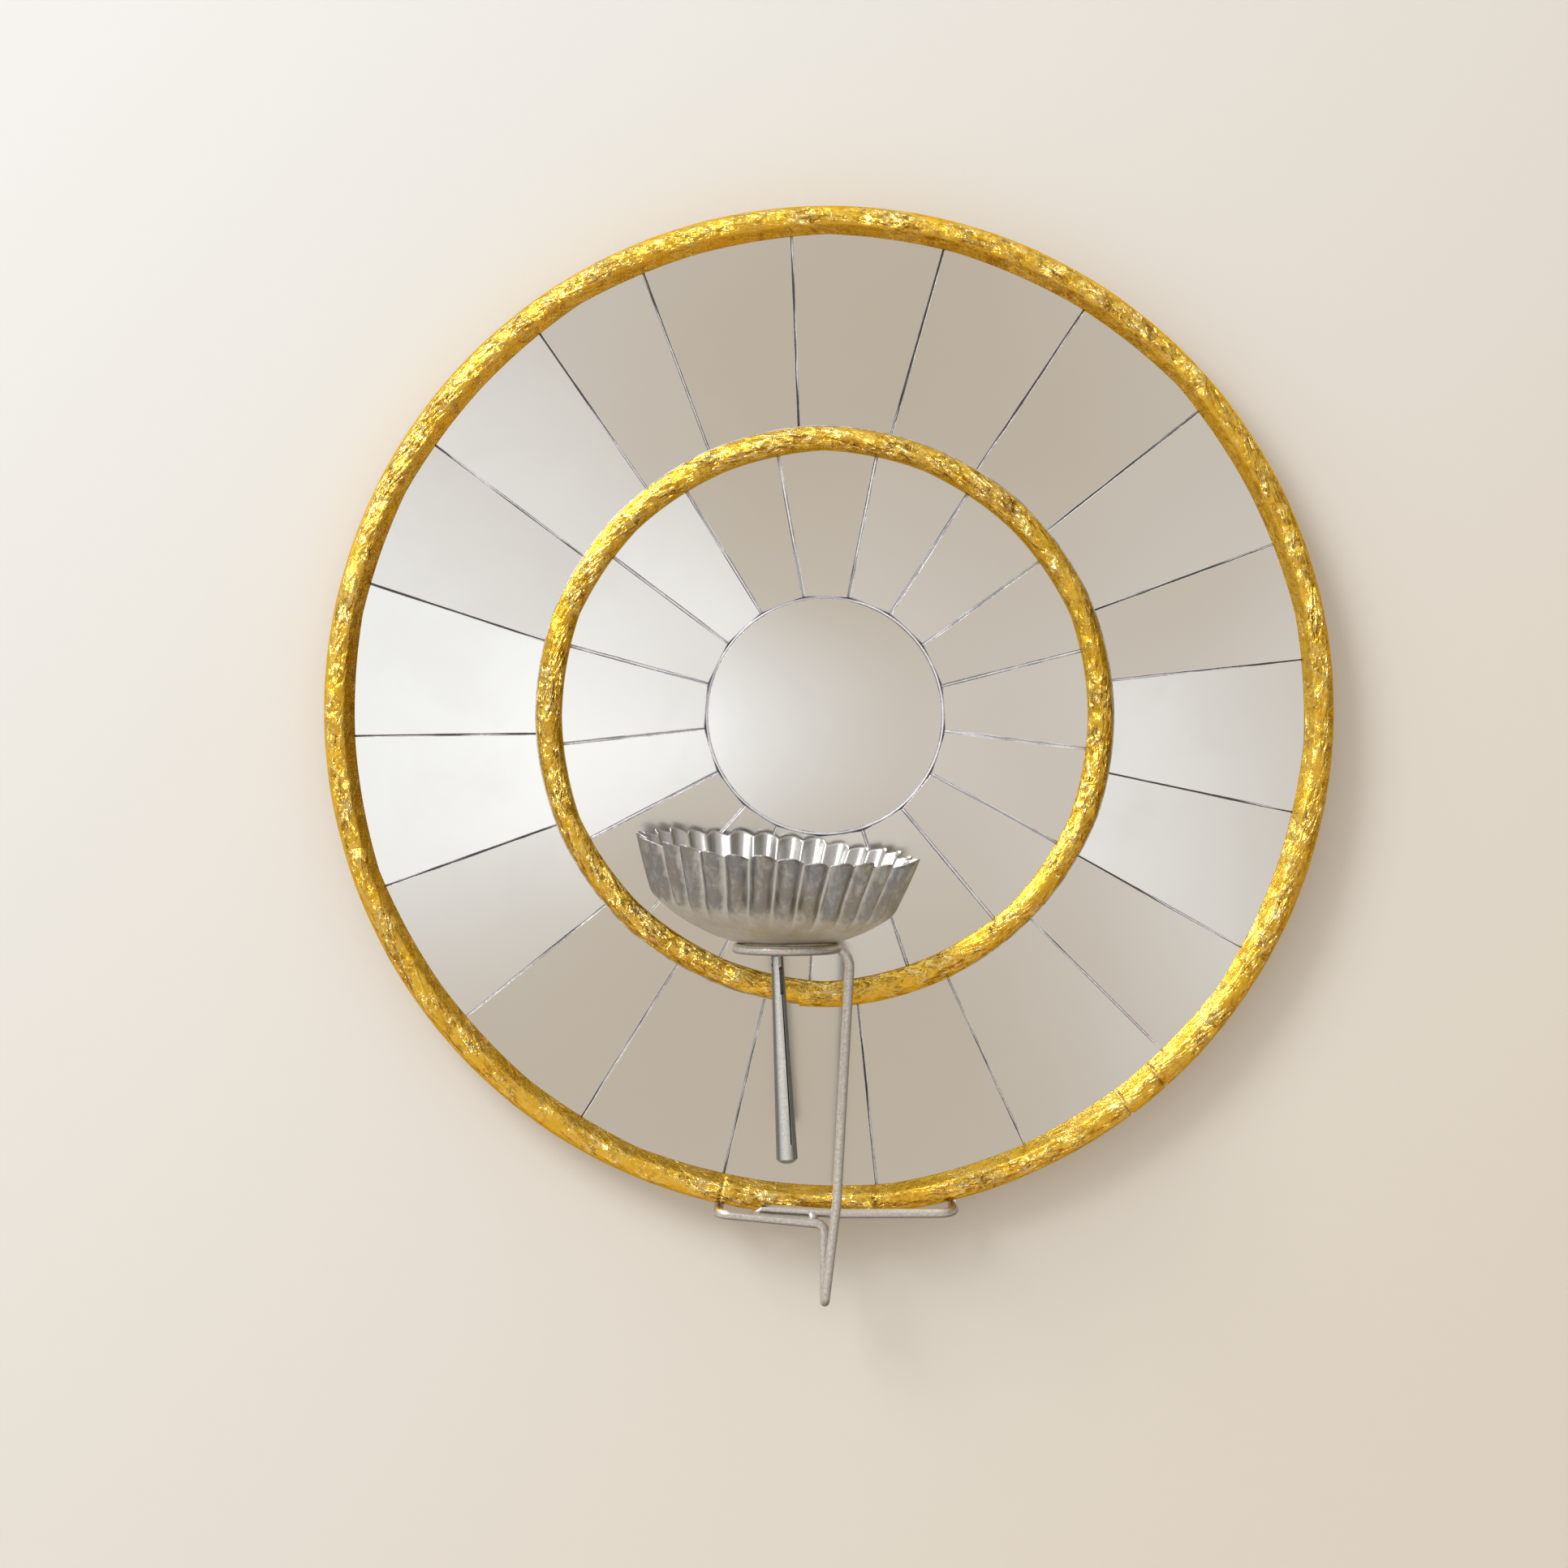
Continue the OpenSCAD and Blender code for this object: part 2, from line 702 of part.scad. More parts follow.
// The weight's frame: the pivot at the origin, X along the swing pin, Z along the weight
module in_weight_frame() {
    translate(pivot)
        rotate([0, -weight_lean, 0])
            rotate([0, 0, slot_turn])
                children();
}

module along_pin(d, l) {
    rotate([0, 90, 0])
        cylinder(d = d, h = l, center = true);
}

module hanging_stud() {
    flange_z = -lay_gap - washer_t - flange_t;
    color("gray")
        difference() {
            union() {
                in_stud_frame() {
                    translate([0, 0, flange_z])
                        cylinder(d = flange_d, h = flange_t);
                    translate([0, 0, flange_z])
                        cylinder(d = stud_d, h = head_seat + head_h / 2 - flange_z);
                    translate([0, 0, head_seat])
                        cylinder(d1 = head_d, d2 = head_tip * head_d, h = head_h);
                }
                in_weight_frame() {
                    along_pin(tongue_d, tongue_w);
                    translate([-tongue_w / 2, -tongue_d / 2, 0])
                        cube([tongue_w, tongue_d, pivot_drop + flange_z + tongue_root]);
                }
            }
            in_weight_frame()
                along_pin(pin_d + 2 * pin_gap, 3 * tongue_w);
        }
}

module stud_washer() {
    color("silver")
        in_stud_frame()
            translate([0, 0, -lay_gap / 2 - washer_t])
                difference() {
                    cylinder(d = washer_d, h = washer_t);
                    translate([0, 0, -over])
                        cylinder(d = stud_d + 2 * stud_hole_gap, h = washer_t + 2 * over);
                }
}

module swing_pin() {
    color("dimgray")
        in_weight_frame()
            along_pin(pin_d, weight_top_d - 2 * pin_short);
}

module counterweight() {
    top_r = weight_top_d / 2;
    foot_r = weight_foot_d / 2;
    color("slategray")
        in_weight_frame()
            difference() {
                rotate_extrude()
                    polygon([
                        [0, fork_top],
                        [top_r - top_bevel, fork_top],
                        [top_r, fork_top - top_bevel],
                        [foot_r, foot_chamfer + foot_crown - weight_l],
                        [foot_r - foot_chamfer, foot_crown - weight_l],
                        [0.45 * foot_r, 0.25 * foot_crown - weight_l],
                        [0, -weight_l]
                    ]);
                translate([-slot_w / 2, -top_r - over, -slot_l])
                    cube([slot_w, 2 * (top_r + over), slot_l + fork_top + over]);
                along_pin(pin_d, 3 * top_r);
                translate([-seam_w / 2, -foot_r - over, seam_short - weight_l])
                    cube([seam_w, foot_r + over - (top_r - seam_depth),
                          weight_l - seam_short - slot_l + over]);
            }
}

for (i = [1 : outer_count])
    outer_mirror(i);
for (i = [1 : inner_count])
    inner_mirror(i);
centre_mirror();
outer_gold_ring();
inner_gold_ring();
adhesive_bed();
back_board();
back_spacer();
spacer_screws();
hanging_plate();
plate_screws();
wire_holder();
wire_saddles();
saddle_screws();
cup_tin();
hanging_stud();
stud_washer();
swing_pin();
counterweight();
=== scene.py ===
"""Round wall mirror of radiating glass pieces between two gold foil rings, with a fluted tin
candle cup in a bent wire holder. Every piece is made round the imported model's frame."""
import math

import bpy
import numpy as np
from mathutils import Matrix, Vector, noise


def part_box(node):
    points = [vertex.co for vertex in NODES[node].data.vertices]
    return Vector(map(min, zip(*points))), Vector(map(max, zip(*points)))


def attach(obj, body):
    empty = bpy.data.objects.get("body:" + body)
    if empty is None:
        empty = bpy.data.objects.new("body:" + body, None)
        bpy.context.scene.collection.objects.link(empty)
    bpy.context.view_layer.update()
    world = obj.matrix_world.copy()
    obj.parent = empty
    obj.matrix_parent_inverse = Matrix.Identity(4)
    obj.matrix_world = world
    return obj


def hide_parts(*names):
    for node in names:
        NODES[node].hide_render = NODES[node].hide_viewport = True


bl_info = {
    "name": "Radiating wall mirror",
    "version": (1, 0, 0),
    "blender": (4, 5, 0),
    "location": "View3D > Sidebar > Mirror",
    "description": "Makes a round mirror with gold foil rings and a candle cup in a wire holder",
    "category": "Add Mesh",
}

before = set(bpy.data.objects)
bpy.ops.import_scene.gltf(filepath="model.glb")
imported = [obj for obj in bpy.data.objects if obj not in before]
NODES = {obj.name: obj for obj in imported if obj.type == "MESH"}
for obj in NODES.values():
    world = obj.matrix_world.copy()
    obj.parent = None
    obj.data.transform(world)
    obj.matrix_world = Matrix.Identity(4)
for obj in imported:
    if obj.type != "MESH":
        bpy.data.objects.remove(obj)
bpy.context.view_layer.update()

MM = 0.001
OUTER_GLASS = sorted(n for n in NODES if n.startswith("outer_mirror_"))
INNER_GLASS = sorted(n for n in NODES if n.startswith("inner_mirror_"))

# Planes and radii that the frame gives
CENTRE_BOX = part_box("centre_mirror")
OUTER_RING_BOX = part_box("outer_gold_ring")
FACE_Y = CENTRE_BOX[0].y
GLASS_BACK_Y = CENTRE_BOX[1].y
BOARD_BACK_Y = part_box("back_board")[1].y
MIRROR_R = (OUTER_RING_BOX[1].x - OUTER_RING_BOX[0].x) / 2
RING_H = FACE_Y - OUTER_RING_BOX[0].y
WRAP_BACK = OUTER_RING_BOX[1].y - FACE_Y
CENTRE = (CENTRE_BOX[0] + CENTRE_BOX[1]) / 2
CENTRE_R = (CENTRE_BOX[1].x - CENTRE_BOX[0].x) / 2

# Sizes that the frame's boxes don't give, as the construction has them. LAP_AT, LAP_SPAN, FOIL_JOINTS
# and CUP_RING_END are in degrees, and the tin's roll and pitch in radians.
OUTER_RING_W = 12.5 * MM
INNER_RING_R = 123 * MM
INNER_RING_W = 10.5 * MM
INNER_CENTRE = (-1.7 * MM, -2.1 * MM)
WRAP_T = 4.7 * MM
CROWN_FULLNESS = 0.75
FLANK_SHARE = 0.30
LAP_AT = 185
LAP_STEP = 1.2 * MM
LAP_SPAN = 45
WRAP_DRAFT = 0.4 * MM
FOIL_PULL = 0.4
FOIL_SLANT = 1.1
FOIL_JOINTS = (138, 143, 192.6)
FOIL_JOINT_W = 0.6 * MM
FOIL_JOINT_DEPTH = 0.9 * MM
FOIL_SEED = 7

WIRE_D = 4 * MM
WIRE_GAP = 0.6 * MM
BAR_Y = FACE_Y - RING_H - WIRE_D / 2 - WIRE_GAP
BAR_Z = 2.4 * MM - MIRROR_R
RUN_Y = BAR_Y - 0.85 * WIRE_D
CUP_RING_R = 20 * MM
CUP_RING_AT = Vector((-18, -93, -96.7)) * MM
CUP_RING_END = 45

BALL_R = 77 * MM
SEAT_GAP = 0.3 * MM
TIN_CORNER_R = 49 * MM
TIN_RIM_R = 57.5 * MM
TIN_H = 40.7 * MM
TIN_T = 0.6 * MM
FLUTES = 32
FLUTE_DEPTH = 4.2 * MM
BASE_FLUTE_SHARE = 0.75
RIM_WAVE = 1.8 * MM
TIN_RIPPLE = 0.12 * MM
LIP_RISE = 0.12 * MM
TIN_ROLL = math.radians(5.5)
TIN_PITCH = math.radians(3.5)

# Where the main light comes from. The world is brighter that way, and the foil's colour is painted paler
# facing it and deeper turned away (painted light and shade).
LIGHT_FROM = Vector((-0.42, -0.52, 0.74)).normalized()


def number(name, description, default, low=0.0, high=1.0, **more):
    """A number for the sidebar."""
    return bpy.props.FloatProperty(name=name, description=description, default=default, min=low,
                                   max=high, **more)


def length(name, description, default, low=0.0, high=1.0):
    """A size in metres."""
    return number(name, description, default, low, high, precision=5, unit="LENGTH")


def colour(name, description, default):
    """A colour, in linear values."""
    return bpy.props.FloatVectorProperty(name=name, description=description, default=default, size=3,
                                         min=0.0, max=1.0, subtype="COLOR")


class MirrorSizes(bpy.types.PropertyGroup):
    """Sizes of the finish that a maker may change."""
    outer_chamfer: length("Outer chamfer", "Ground edge of the outer glass pieces", 0.22 * MM)
    inner_chamfer: length("Inner chamfer", "Ground edge of the inner glass pieces", 0.4 * MM)
    glass_lean: length("Glass lean", "How deep the low corner of a hand-laid piece lies", 0.25 * MM)
    glass_hollow: number("Glass hollow", "How much a cut piece's face turns inwards over 40 mm", 0.006,
                         subtype="FACTOR")
    centre_bow: number("Centre bow", "How much the centre piece's face turns outwards over 40 mm", 0.012,
                       subtype="FACTOR")
    foil_crumple: length("Foil crumple", "Depth of the creases in the gold foil", 0.5 * MM)
    foil_wander: length("Foil wander", "How far the hand-laid edges of the rings wander", 1.0 * MM)
    tin_dents: length("Tin dents", "How far the old tin is out of true", 0.45 * MM)
    wire_sides: bpy.props.IntProperty(name="Wire sides", description="Faces round the wire",
                                      default=28, min=12, max=48)


class MirrorColours(bpy.types.PropertyGroup):
    """Colours of the finishes."""
    glass: colour("Glass", "Silvering of the glass", (0.80, 0.80, 0.79))
    glass_edge: colour("Glass edge", "Ground edge of the glass", (0.95, 0.95, 0.96))
    foil: colour("Gold foil", "Bright gold of the foil", (1.0, 0.62, 0.06))
    # Deep foil is painted shade in the folds and away from the light, and also the colour of the brown
    # smudges
    foil_shade_and_smudge: colour("Deep foil", "Gold in the folds of the foil", (0.42, 0.17, 0.008))
    # Foil glint is a painted highlight on the ridges, the creases and the sparkle
    foil_painted_glint: colour("Foil glint", "Pale gold of the ridges and the sparkle", (1.0, 0.88, 0.42))
    bed: colour("Adhesive", "Silver-grey adhesive between the inner pieces", (0.40, 0.38, 0.42))
    # Bright adhesive is a painted highlight on the lit side of the seams
    painted_light_bed: colour("Bright adhesive", "Adhesive that catches the light", (0.90, 0.89, 0.92))
    # Dark adhesive is painted shade deep in the outer seams
    painted_shade_bed: colour("Dark adhesive", "Adhesive deep in the outer seams", (0.07, 0.06, 0.055))
    glue: colour("Glue", "Bead of glue along the inner ring", (0.52, 0.49, 0.44))
    wire: colour("Wire", "Blasted grey wire", (0.66, 0.62, 0.58))
    tin: colour("Tinplate", "Bright tinplate along the flutes and inside", (0.58, 0.58, 0.57))
    # Dark tin is a painted dark reflection on the crests of the flutes
    tin_painted_dark_reflection: colour("Dark tin", "Oxidised tinplate on the outside of the flutes", (0.20, 0.20, 0.205))
    tin_brown: colour("Brown tin", "Warm oxide on some of the flutes", (0.25, 0.215, 0.165))
    tin_patina: colour("Tin patina", "Warm patina of the old tin", (0.40, 0.34, 0.24))
    steel: colour("Steel", "Plain steel of the weight", (0.84, 0.85, 0.81))
    zinc: colour("Zinc", "Zinc plated fixings", (0.60, 0.61, 0.63))
    plywood: colour("Plywood", "Face of the plywood", (0.74, 0.56, 0.36))
    plywood_grain: colour("Plywood grain", "Dark lines in the plywood", (0.55, 0.37, 0.20))


class StageSettings(bpy.types.PropertyGroup):
    """Wall, floor, light and camera."""
    # The wall runs from the light colour at the upper left to a darker, warmer one at the lower right, as
    # painted shade
    wall_light: colour("Light wall", "Warm off-white wall at the upper left", (0.755, 0.755, 0.742))
    wall_painted_shade: colour("Warm wall", "Warmer off-white wall at the lower right", (0.726, 0.664, 0.572))
    floor: colour("Floor", "Plain pale floor", (0.83, 0.79, 0.73))
    room: colour("Room", "Warm room that the glass reflects", (0.578, 0.484, 0.372))
    pale_room: colour("Pale room", "Paler side of the room, in the middle and above", (0.72, 0.655, 0.58))
    window: colour("Window", "Bright window that the left of the glass reflects", (1.0, 1.0, 0.99))
    window_level: number("Window level", "Brightness of the window", 1.07, high=10.0)
    light_side: colour("Light side", "Soft light from the upper left", (0.96, 0.955, 0.95))
    dark_side: colour("Dark side", "Soft light from the lower right and behind", (0.15, 0.13, 0.11))
    key_power: number("Key light", "Power of the main soft light", 30.0, high=400.0, unit="POWER")
    fill_power: number("Fill light", "Power of the weak back light", 16.0, high=200.0, unit="POWER")
    camera_x: length("Camera X", "Sideways place of the camera", -19.1 * MM, -1.0, 1.0)
    camera_z: length("Camera Z", "Height of the camera", -31.2 * MM, -1.0, 1.0)
    camera_distance: length("Camera distance", "Distance from the glass", 1.2, 0.3, 5.0)
    view_width: length("View width", "Width of the view at the glass", 0.6677, 0.1, 3.0)


def sizes():
    return bpy.context.scene.mirror_sizes


def colours():
    return bpy.context.scene.mirror_colours


# Shader helpers

MADE = {}


def made(maker):
    """The material or the shared node group that a maker gives, made on its first use."""
    if maker not in MADE:
        MADE[maker] = maker()
    return MADE[maker]


def feed(tree, node, inputs):
    """Sets a node's inputs: a signal is linked, and anything else is the input's own value."""
    for key, value in inputs.items():
        if isinstance(value, Signal):
            tree.links.new(value.socket, node.inputs[key])
        elif node.inputs[key].type == "RGBA":
            node.inputs[key].default_value = (*value, 1.0)
        else:
            node.inputs[key].default_value = value


def add(tree, kind, inputs=None, **settings):
    """A new shader node, given as the signal of its first output."""
    node = tree.nodes.new("ShaderNode" + kind)
    for key, value in settings.items():
        setattr(node, key, value)
    feed(tree, node, inputs or {})
    return Signal(tree, node.outputs[0])


class Signal:
    """What a shader node puts out. A sum, difference, product or quotient of it is a math node."""

    def __init__(self, tree, socket):
        self.tree = tree
        self.socket = socket

    def __getitem__(self, output):
        """Another output of the same node, by its name or its place."""
        return Signal(self.tree, self.socket.node.outputs[output])

    def add(self, kind, inputs=None, **settings):
        """Another node in the same tree."""
        return add(self.tree, kind, inputs, **settings)

    def math(self, operation, other=0.0):
        return self.add("Math", {0: self, 1: other}, operation=operation)

    def __add__(self, other):
        return self.math("ADD", other)

    def __sub__(self, other):
        return self.math("SUBTRACT", other)

    def __mul__(self, other):
        return self.math("MULTIPLY", other)

    def __truediv__(self, other):
        return self.math("DIVIDE", other)

    def __rsub__(self, other):
        return self.add("Math", {0: other, 1: self}, operation="SUBTRACT")

    def __rtruediv__(self, other):
        return self.add("Math", {0: other, 1: self}, operation="DIVIDE")

    def ramp(self, low, high, to_low=0.0, to_high=1.0, interpolation="LINEAR"):
        """The value remapped from one range to another, and held at its ends."""
        return self.add("MapRange", {"Value": self, "From Min": low, "From Max": high,
                                     "To Min": to_low, "To Max": to_high},
                        interpolation_type=interpolation)

    def span(self, at_none, at_full):
        """A value between two others, by this one as their mask."""
        return self.ramp(0.0, 1.0, at_none, at_full)

    def blend(self, first, second):
        """Mix of two colours, by this value as their mask."""
        return self.add("Mix", {"Factor": self, 6: first, 7: second}, data_type="RGBA")[2]

    def vector(self, operation, other=(0, 0, 0)):
        slot = "Scale" if operation == "SCALE" else 1
        return self.add("VectorMath", {0: self, slot: other}, operation=operation)

    def axis(self, name):
        return self.add("SeparateXYZ", {0: self})[name]

    def noise(self, scale, detail=3.0, roughness=0.55, distortion=0.0):
        return self.add("TexNoise", {"Vector": self, "Scale": scale, "Detail": detail,
                                     "Roughness": roughness, "Distortion": distortion})

    def group(self, maker, **inputs):
        """A shared node group that starts from this vector."""
        return self.add("Group", {"Vector": self, **inputs}, node_tree=made(maker))

    def bump(self, distance, strength=1.0):
        """The surface's normal, as this height bends it."""
        return self.add("Bump", {"Height": self, "Distance": distance, "Strength": strength})

    def turned(self, turn):
        """This normal, leant over by a vector."""
        return self.vector("ADD", turn).vector("NORMALIZE")


def group_start(name, **inputs):
    """A new shader node group and the vector that it starts from, beside its other inputs."""
    tree = bpy.data.node_groups.new(name, "ShaderNodeTree")
    for socket, default in {"Vector": (0, 0, 0), **inputs}.items():
        kind = "NodeSocketFloat" if isinstance(default, float) else "NodeSocketVector"
        entry = tree.interface.new_socket(name=socket, in_out="INPUT", socket_type=kind)
        entry.default_value = default
    return Signal(tree, tree.nodes.new("NodeGroupInput").outputs[0])


def group_end(place, **outputs):
    """The finished group of a start, which puts out each signal under its name."""
    tree = place.tree
    for name, signal in outputs.items():
        kind = "NodeSocketVector" if signal.socket.type == "VECTOR" else "NodeSocketFloat"
        tree.interface.new_socket(name=name, in_out="OUTPUT", socket_type=kind)
    feed(tree, tree.nodes.new("NodeGroupOutput"), outputs)
    return tree


def grain_group():
    """Fine even grain of a blasted or cast surface."""
    place = group_start("Fine grain", Scale=900.0)
    scale = place["Scale"]
    height = (place.noise(scale, 2.0, 0.7) + place.noise(scale * 0.31, 3.0, 0.6)) * 0.5
    return group_end(place, Height=height, Mask=height.ramp(0.40, 0.62))


def blotch_group():
    """Soft uneven patches, as patina and handling leave them."""
    place = group_start("Soft blotches", Scale=40.0, Cover=0.5)
    edge = 1.0 - place["Cover"]
    large = place.noise(place["Scale"], 5.0, 0.65, 0.6)
    return group_end(place, Mask=large.ramp(edge - 0.12, edge + 0.12, interpolation="SMOOTHSTEP"))


def crease_group():
    """Thin raised creases of crumpled foil, in patches."""
    place = group_start("Foil creases", Scale=300.0)
    scale = place["Scale"]
    cells = place.add("TexVoronoi", {"Vector": place, "Scale": scale}, feature="DISTANCE_TO_EDGE")
    patches = place.noise(scale * 0.7, 2.0, 0.5).ramp(0.50, 0.60)
    return group_end(place, Mask=cells["Distance"].ramp(0.0, 0.06, 1.0, 0.0) * patches)


def wrinkle_group():
    """Sharp wrinkles and folds of a thin sheet."""
    place = group_start("Foil wrinkles", Scale=400.0)
    masks = []
    for scale_share, low in ((1.0, 0.6), (0.63, 0.98)):
        inputs = {"Vector": place, "Scale": place["Scale"] * scale_share, "Detail": 3.0,
                  "Roughness": 0.55, "Lacunarity": 2.2, "Offset": 0.9, "Gain": 2.0}
        ridges = place.add("TexNoise", inputs, noise_type="RIDGED_MULTIFRACTAL")
        masks.append(ridges.ramp(low, 1.3))
    return group_end(place, Height=masks[0] - masks[1], Ridge=masks[0], Fold=masks[1])


def facet_group():
    """Flat facets of crumpled foil, each leant its own way."""
    place = group_start("Foil facets", Scale=200.0, Turn=0.5)
    scale = place["Scale"]
    wobble = place.noise(scale * 0.8, 2.0, 0.5)["Color"].vector("SCALE", 0.7 / scale)
    cells = place.add("TexVoronoi", {"Vector": place.vector("ADD", wobble), "Scale": scale},
                      feature="F1")["Color"]
    centred = cells.vector("SUBTRACT", (0.5, 0.5, 0.5))
    return group_end(place, Lean=centred.vector("SCALE", place["Turn"]))


def light_group():
    """How much a surface or a direction points to where the light comes from."""
    way = group_start("Towards the light", Source=LIGHT_FROM)
    return group_end(way, Facing=way.vector("DOT_PRODUCT", way["Source"])["Value"])


def new_material(name):
    """A new material and the object's own coordinates in its tree."""
    material = bpy.data.materials.new(name)
    material.use_nodes = True
    return material, add(material.node_tree, "TexCoord")["Object"]


def coat(material, base, roughness, normal=None, metallic=1.0, tint=(1.0, 1.0, 1.0)):
    """Gives a material's shader its look, and gives the material back."""
    inputs = {"Base Color": base, "Roughness": roughness, "Metallic": metallic, "Specular Tint": tint}
    if normal:
        inputs["Normal"] = normal
    feed(material.node_tree, material.node_tree.nodes["Principled BSDF"], inputs)
    return material


def attribute(place, name):
    """What the mesh gives at each point under a name."""
    return place.add("Attribute", attribute_name=name)


def surface_normal(place):
    return place.add("NewGeometry")["Normal"]


def shade(base, factor):
    """A colour made darker or brighter."""
    return [min(1.0, c * factor) for c in base]


# Materials

def glass_material():
    """Silvered glass with a satin reflection; each piece leans a little its own way."""
    material, place = new_material("silvered_glass")
    haze = place.group(blotch_group, Scale=16.0, Cover=0.45)
    silver = colours().glass
    normal = place.noise(9.0, 1.0).bump(0.0004, 0.5).turned(attribute(place, "lean")["Vector"])
    return coat(material, haze.blend(silver, shade(silver, 0.985)), haze.span(0.11, 0.13), normal)


def glass_edge_material():
    """Ground edge of the glass: white in some stretches of a seam, and darkened in others as painted
    shade.
    """
    material, place = new_material("ground_glass_edge")
    grain = place.group(grain_group, Scale=1400.0)
    stretches = place.group(blotch_group, Scale=26.0, Cover=0.5)
    edge = colours().glass_edge
    sparkle = grain["Mask"].blend(shade(edge, 0.85), edge)
    # Painted shade: some stretches of the edge are darkened
    mixed = stretches.span(0.0, 0.85).blend(sparkle, shade(edge, 0.22))
    return coat(material, mixed, grain["Mask"].span(0.14, 0.34), grain["Height"].bump(0.0003, 0.6),
                metallic=0.9)


def foil_material():
    """Crumpled gold foil: soft folds and flat facets, fine crinkles and pale creases in places. Its
    colour
    holds painted light and shade: pale where a fold faces the light, deep where it turns away or lies
    in a fold, with painted glints along the creases and ridges and in a sparkle."""
    material, place = new_material("crumpled_gold_foil")
    sheet = attribute(place, "sheet")["Vector"]
    crushed = place.group(blotch_group, Scale=75.0, Cover=0.5)
    rough = (1.0 - attribute(place, "calm")["Fac"]) * crushed.span(0.35, 1.0)
    wrinkles = sheet.group(wrinkle_group, Scale=230.0)
    lines = place.group(crease_group, Scale=200.0) * rough
    fine = place.noise(1500.0, 3.0, 0.7)
    height = wrinkles["Height"] * (rough + 0.1) + lines * 0.3 + fine * 0.25
    broad = place.group(facet_group, Scale=240.0, Turn=rough * 0.6)
    small = place.group(facet_group, Scale=640.0, Turn=rough * 0.5)
    normal = height.bump(0.0004).turned(broad).turned(small)
    # Painted light: the foil's colour is made paler where its bent normal faces the light
    lit = normal.group(light_group, Source=LIGHT_FROM).ramp(0.05, 0.85)
    smudges = place.group(blotch_group, Scale=150.0, Cover=0.4)
    # Painted shade in the folds, together with the foil's own darker smudges
    dull = (wrinkles["Fold"] * rough).math("MAXIMUM", smudges * 0.8)
    tone = lit.span(0.4, 1.0) - dull * 0.6
    gold_with_painted_light = tone.blend(colours().foil_shade_and_smudge, colours().foil)
    sparkle = place.noise(1500.0, 2.0, 0.7)
    grains = sparkle.ramp(0.52, 0.62) * crushed
    on_ridges = wrinkles["Ridge"].ramp(0.6, 1.0) * rough
    # Painted glints: pale gold on creases, ridges and sparkle, stronger where they face the light
    pale = lines.math("MAXIMUM", on_ridges).math("MAXIMUM", grains)
    shine = pale * lit.ramp(0.3, 1.0, 0.35, 1.0)
    return coat(material, shine.blend(gold_with_painted_light, colours().foil_painted_glint),
                sparkle.ramp(0.35, 0.65, 0.28, 0.16), normal, tint=(1.0, 0.80, 0.32))


def adhesive_material(name, base):
    """Adhesive with brighter and duller patches."""
    material, place = new_material(name)
    patches = place.group(blotch_group, Scale=150.0, Cover=0.5)
    return coat(material, patches.blend(shade(base, 0.7), shade(base, 1.3)), patches.span(0.6, 0.35),
                place.noise(800.0).bump(0.0003), metallic=0.35)


def seam_material(name, dark, bright, painted_light_share):
    """Adhesive in a seam with painted light and shade: one side of it is painted lit and the other
    painted dark, and how much is painted lit changes along the seam."""
    material, place = new_material(name)
    grain = place.group(grain_group, Scale=1300.0)
    reach = place.noise(24.0, 2.0).ramp(0.36, 0.64, painted_light_share - 0.7, painted_light_share + 0.7)
    # Painted light and shade across the seam, by the side that each point lies on
    lit = (reach - attribute(place, "side")["Fac"]).ramp(-0.1, 0.1)
    sparkle = grain["Mask"].span(0.0, 0.35).blend(bright, dark)
    return coat(material, lit.blend(dark, sparkle), grain["Mask"].span(0.3, 0.5),
                grain["Height"].bump(0.0002, 0.6), metallic=0.2)


def bed_material():
    return adhesive_material("silver_grey_adhesive", colours().bed)


def glue_material():
    return adhesive_material("dried_glue", colours().glue)


def outer_seam_material():
    # Outer seams: painted shade on one side and a painted highlight on the other
    return seam_material("outer_seam_adhesive", colours().painted_shade_bed, colours().painted_light_bed, 0.42)


def centre_seam_material():
    return seam_material("centre_seam_adhesive", colours().bed, colours().painted_light_bed, 1.0)


def inner_seam_material():
    return seam_material("inner_seam_adhesive", colours().bed, colours().painted_light_bed, 0.6)


def wire_material():
    """Blasted grey wire with a very fine grain, with painted shade below and a painted highlight towards
    the light.
    """
    material, place = new_material("blasted_grey_wire")
    grain = place.group(grain_group, Scale=2600.0)
    wire = colours().wire
    grained = grain["Mask"].blend(shade(wire, 0.8), shade(wire, 1.2))
    lit = surface_normal(place).group(light_group, Source=(-0.3, -0.4, 0.87))
    # Painted shade: darker where the wire turns away from the light
    shaded = lit.ramp(-0.45, 0.3).blend(shade(wire, 0.28), grained)
    # Painted highlight along the side that faces the light
    painted_highlight = lit.ramp(0.8, 0.95).blend(shaded, shade(wire, 1.6))
    return coat(material, painted_highlight, grain["Mask"].span(0.42, 0.3), grain["Height"].bump(0.00012, 0.5))


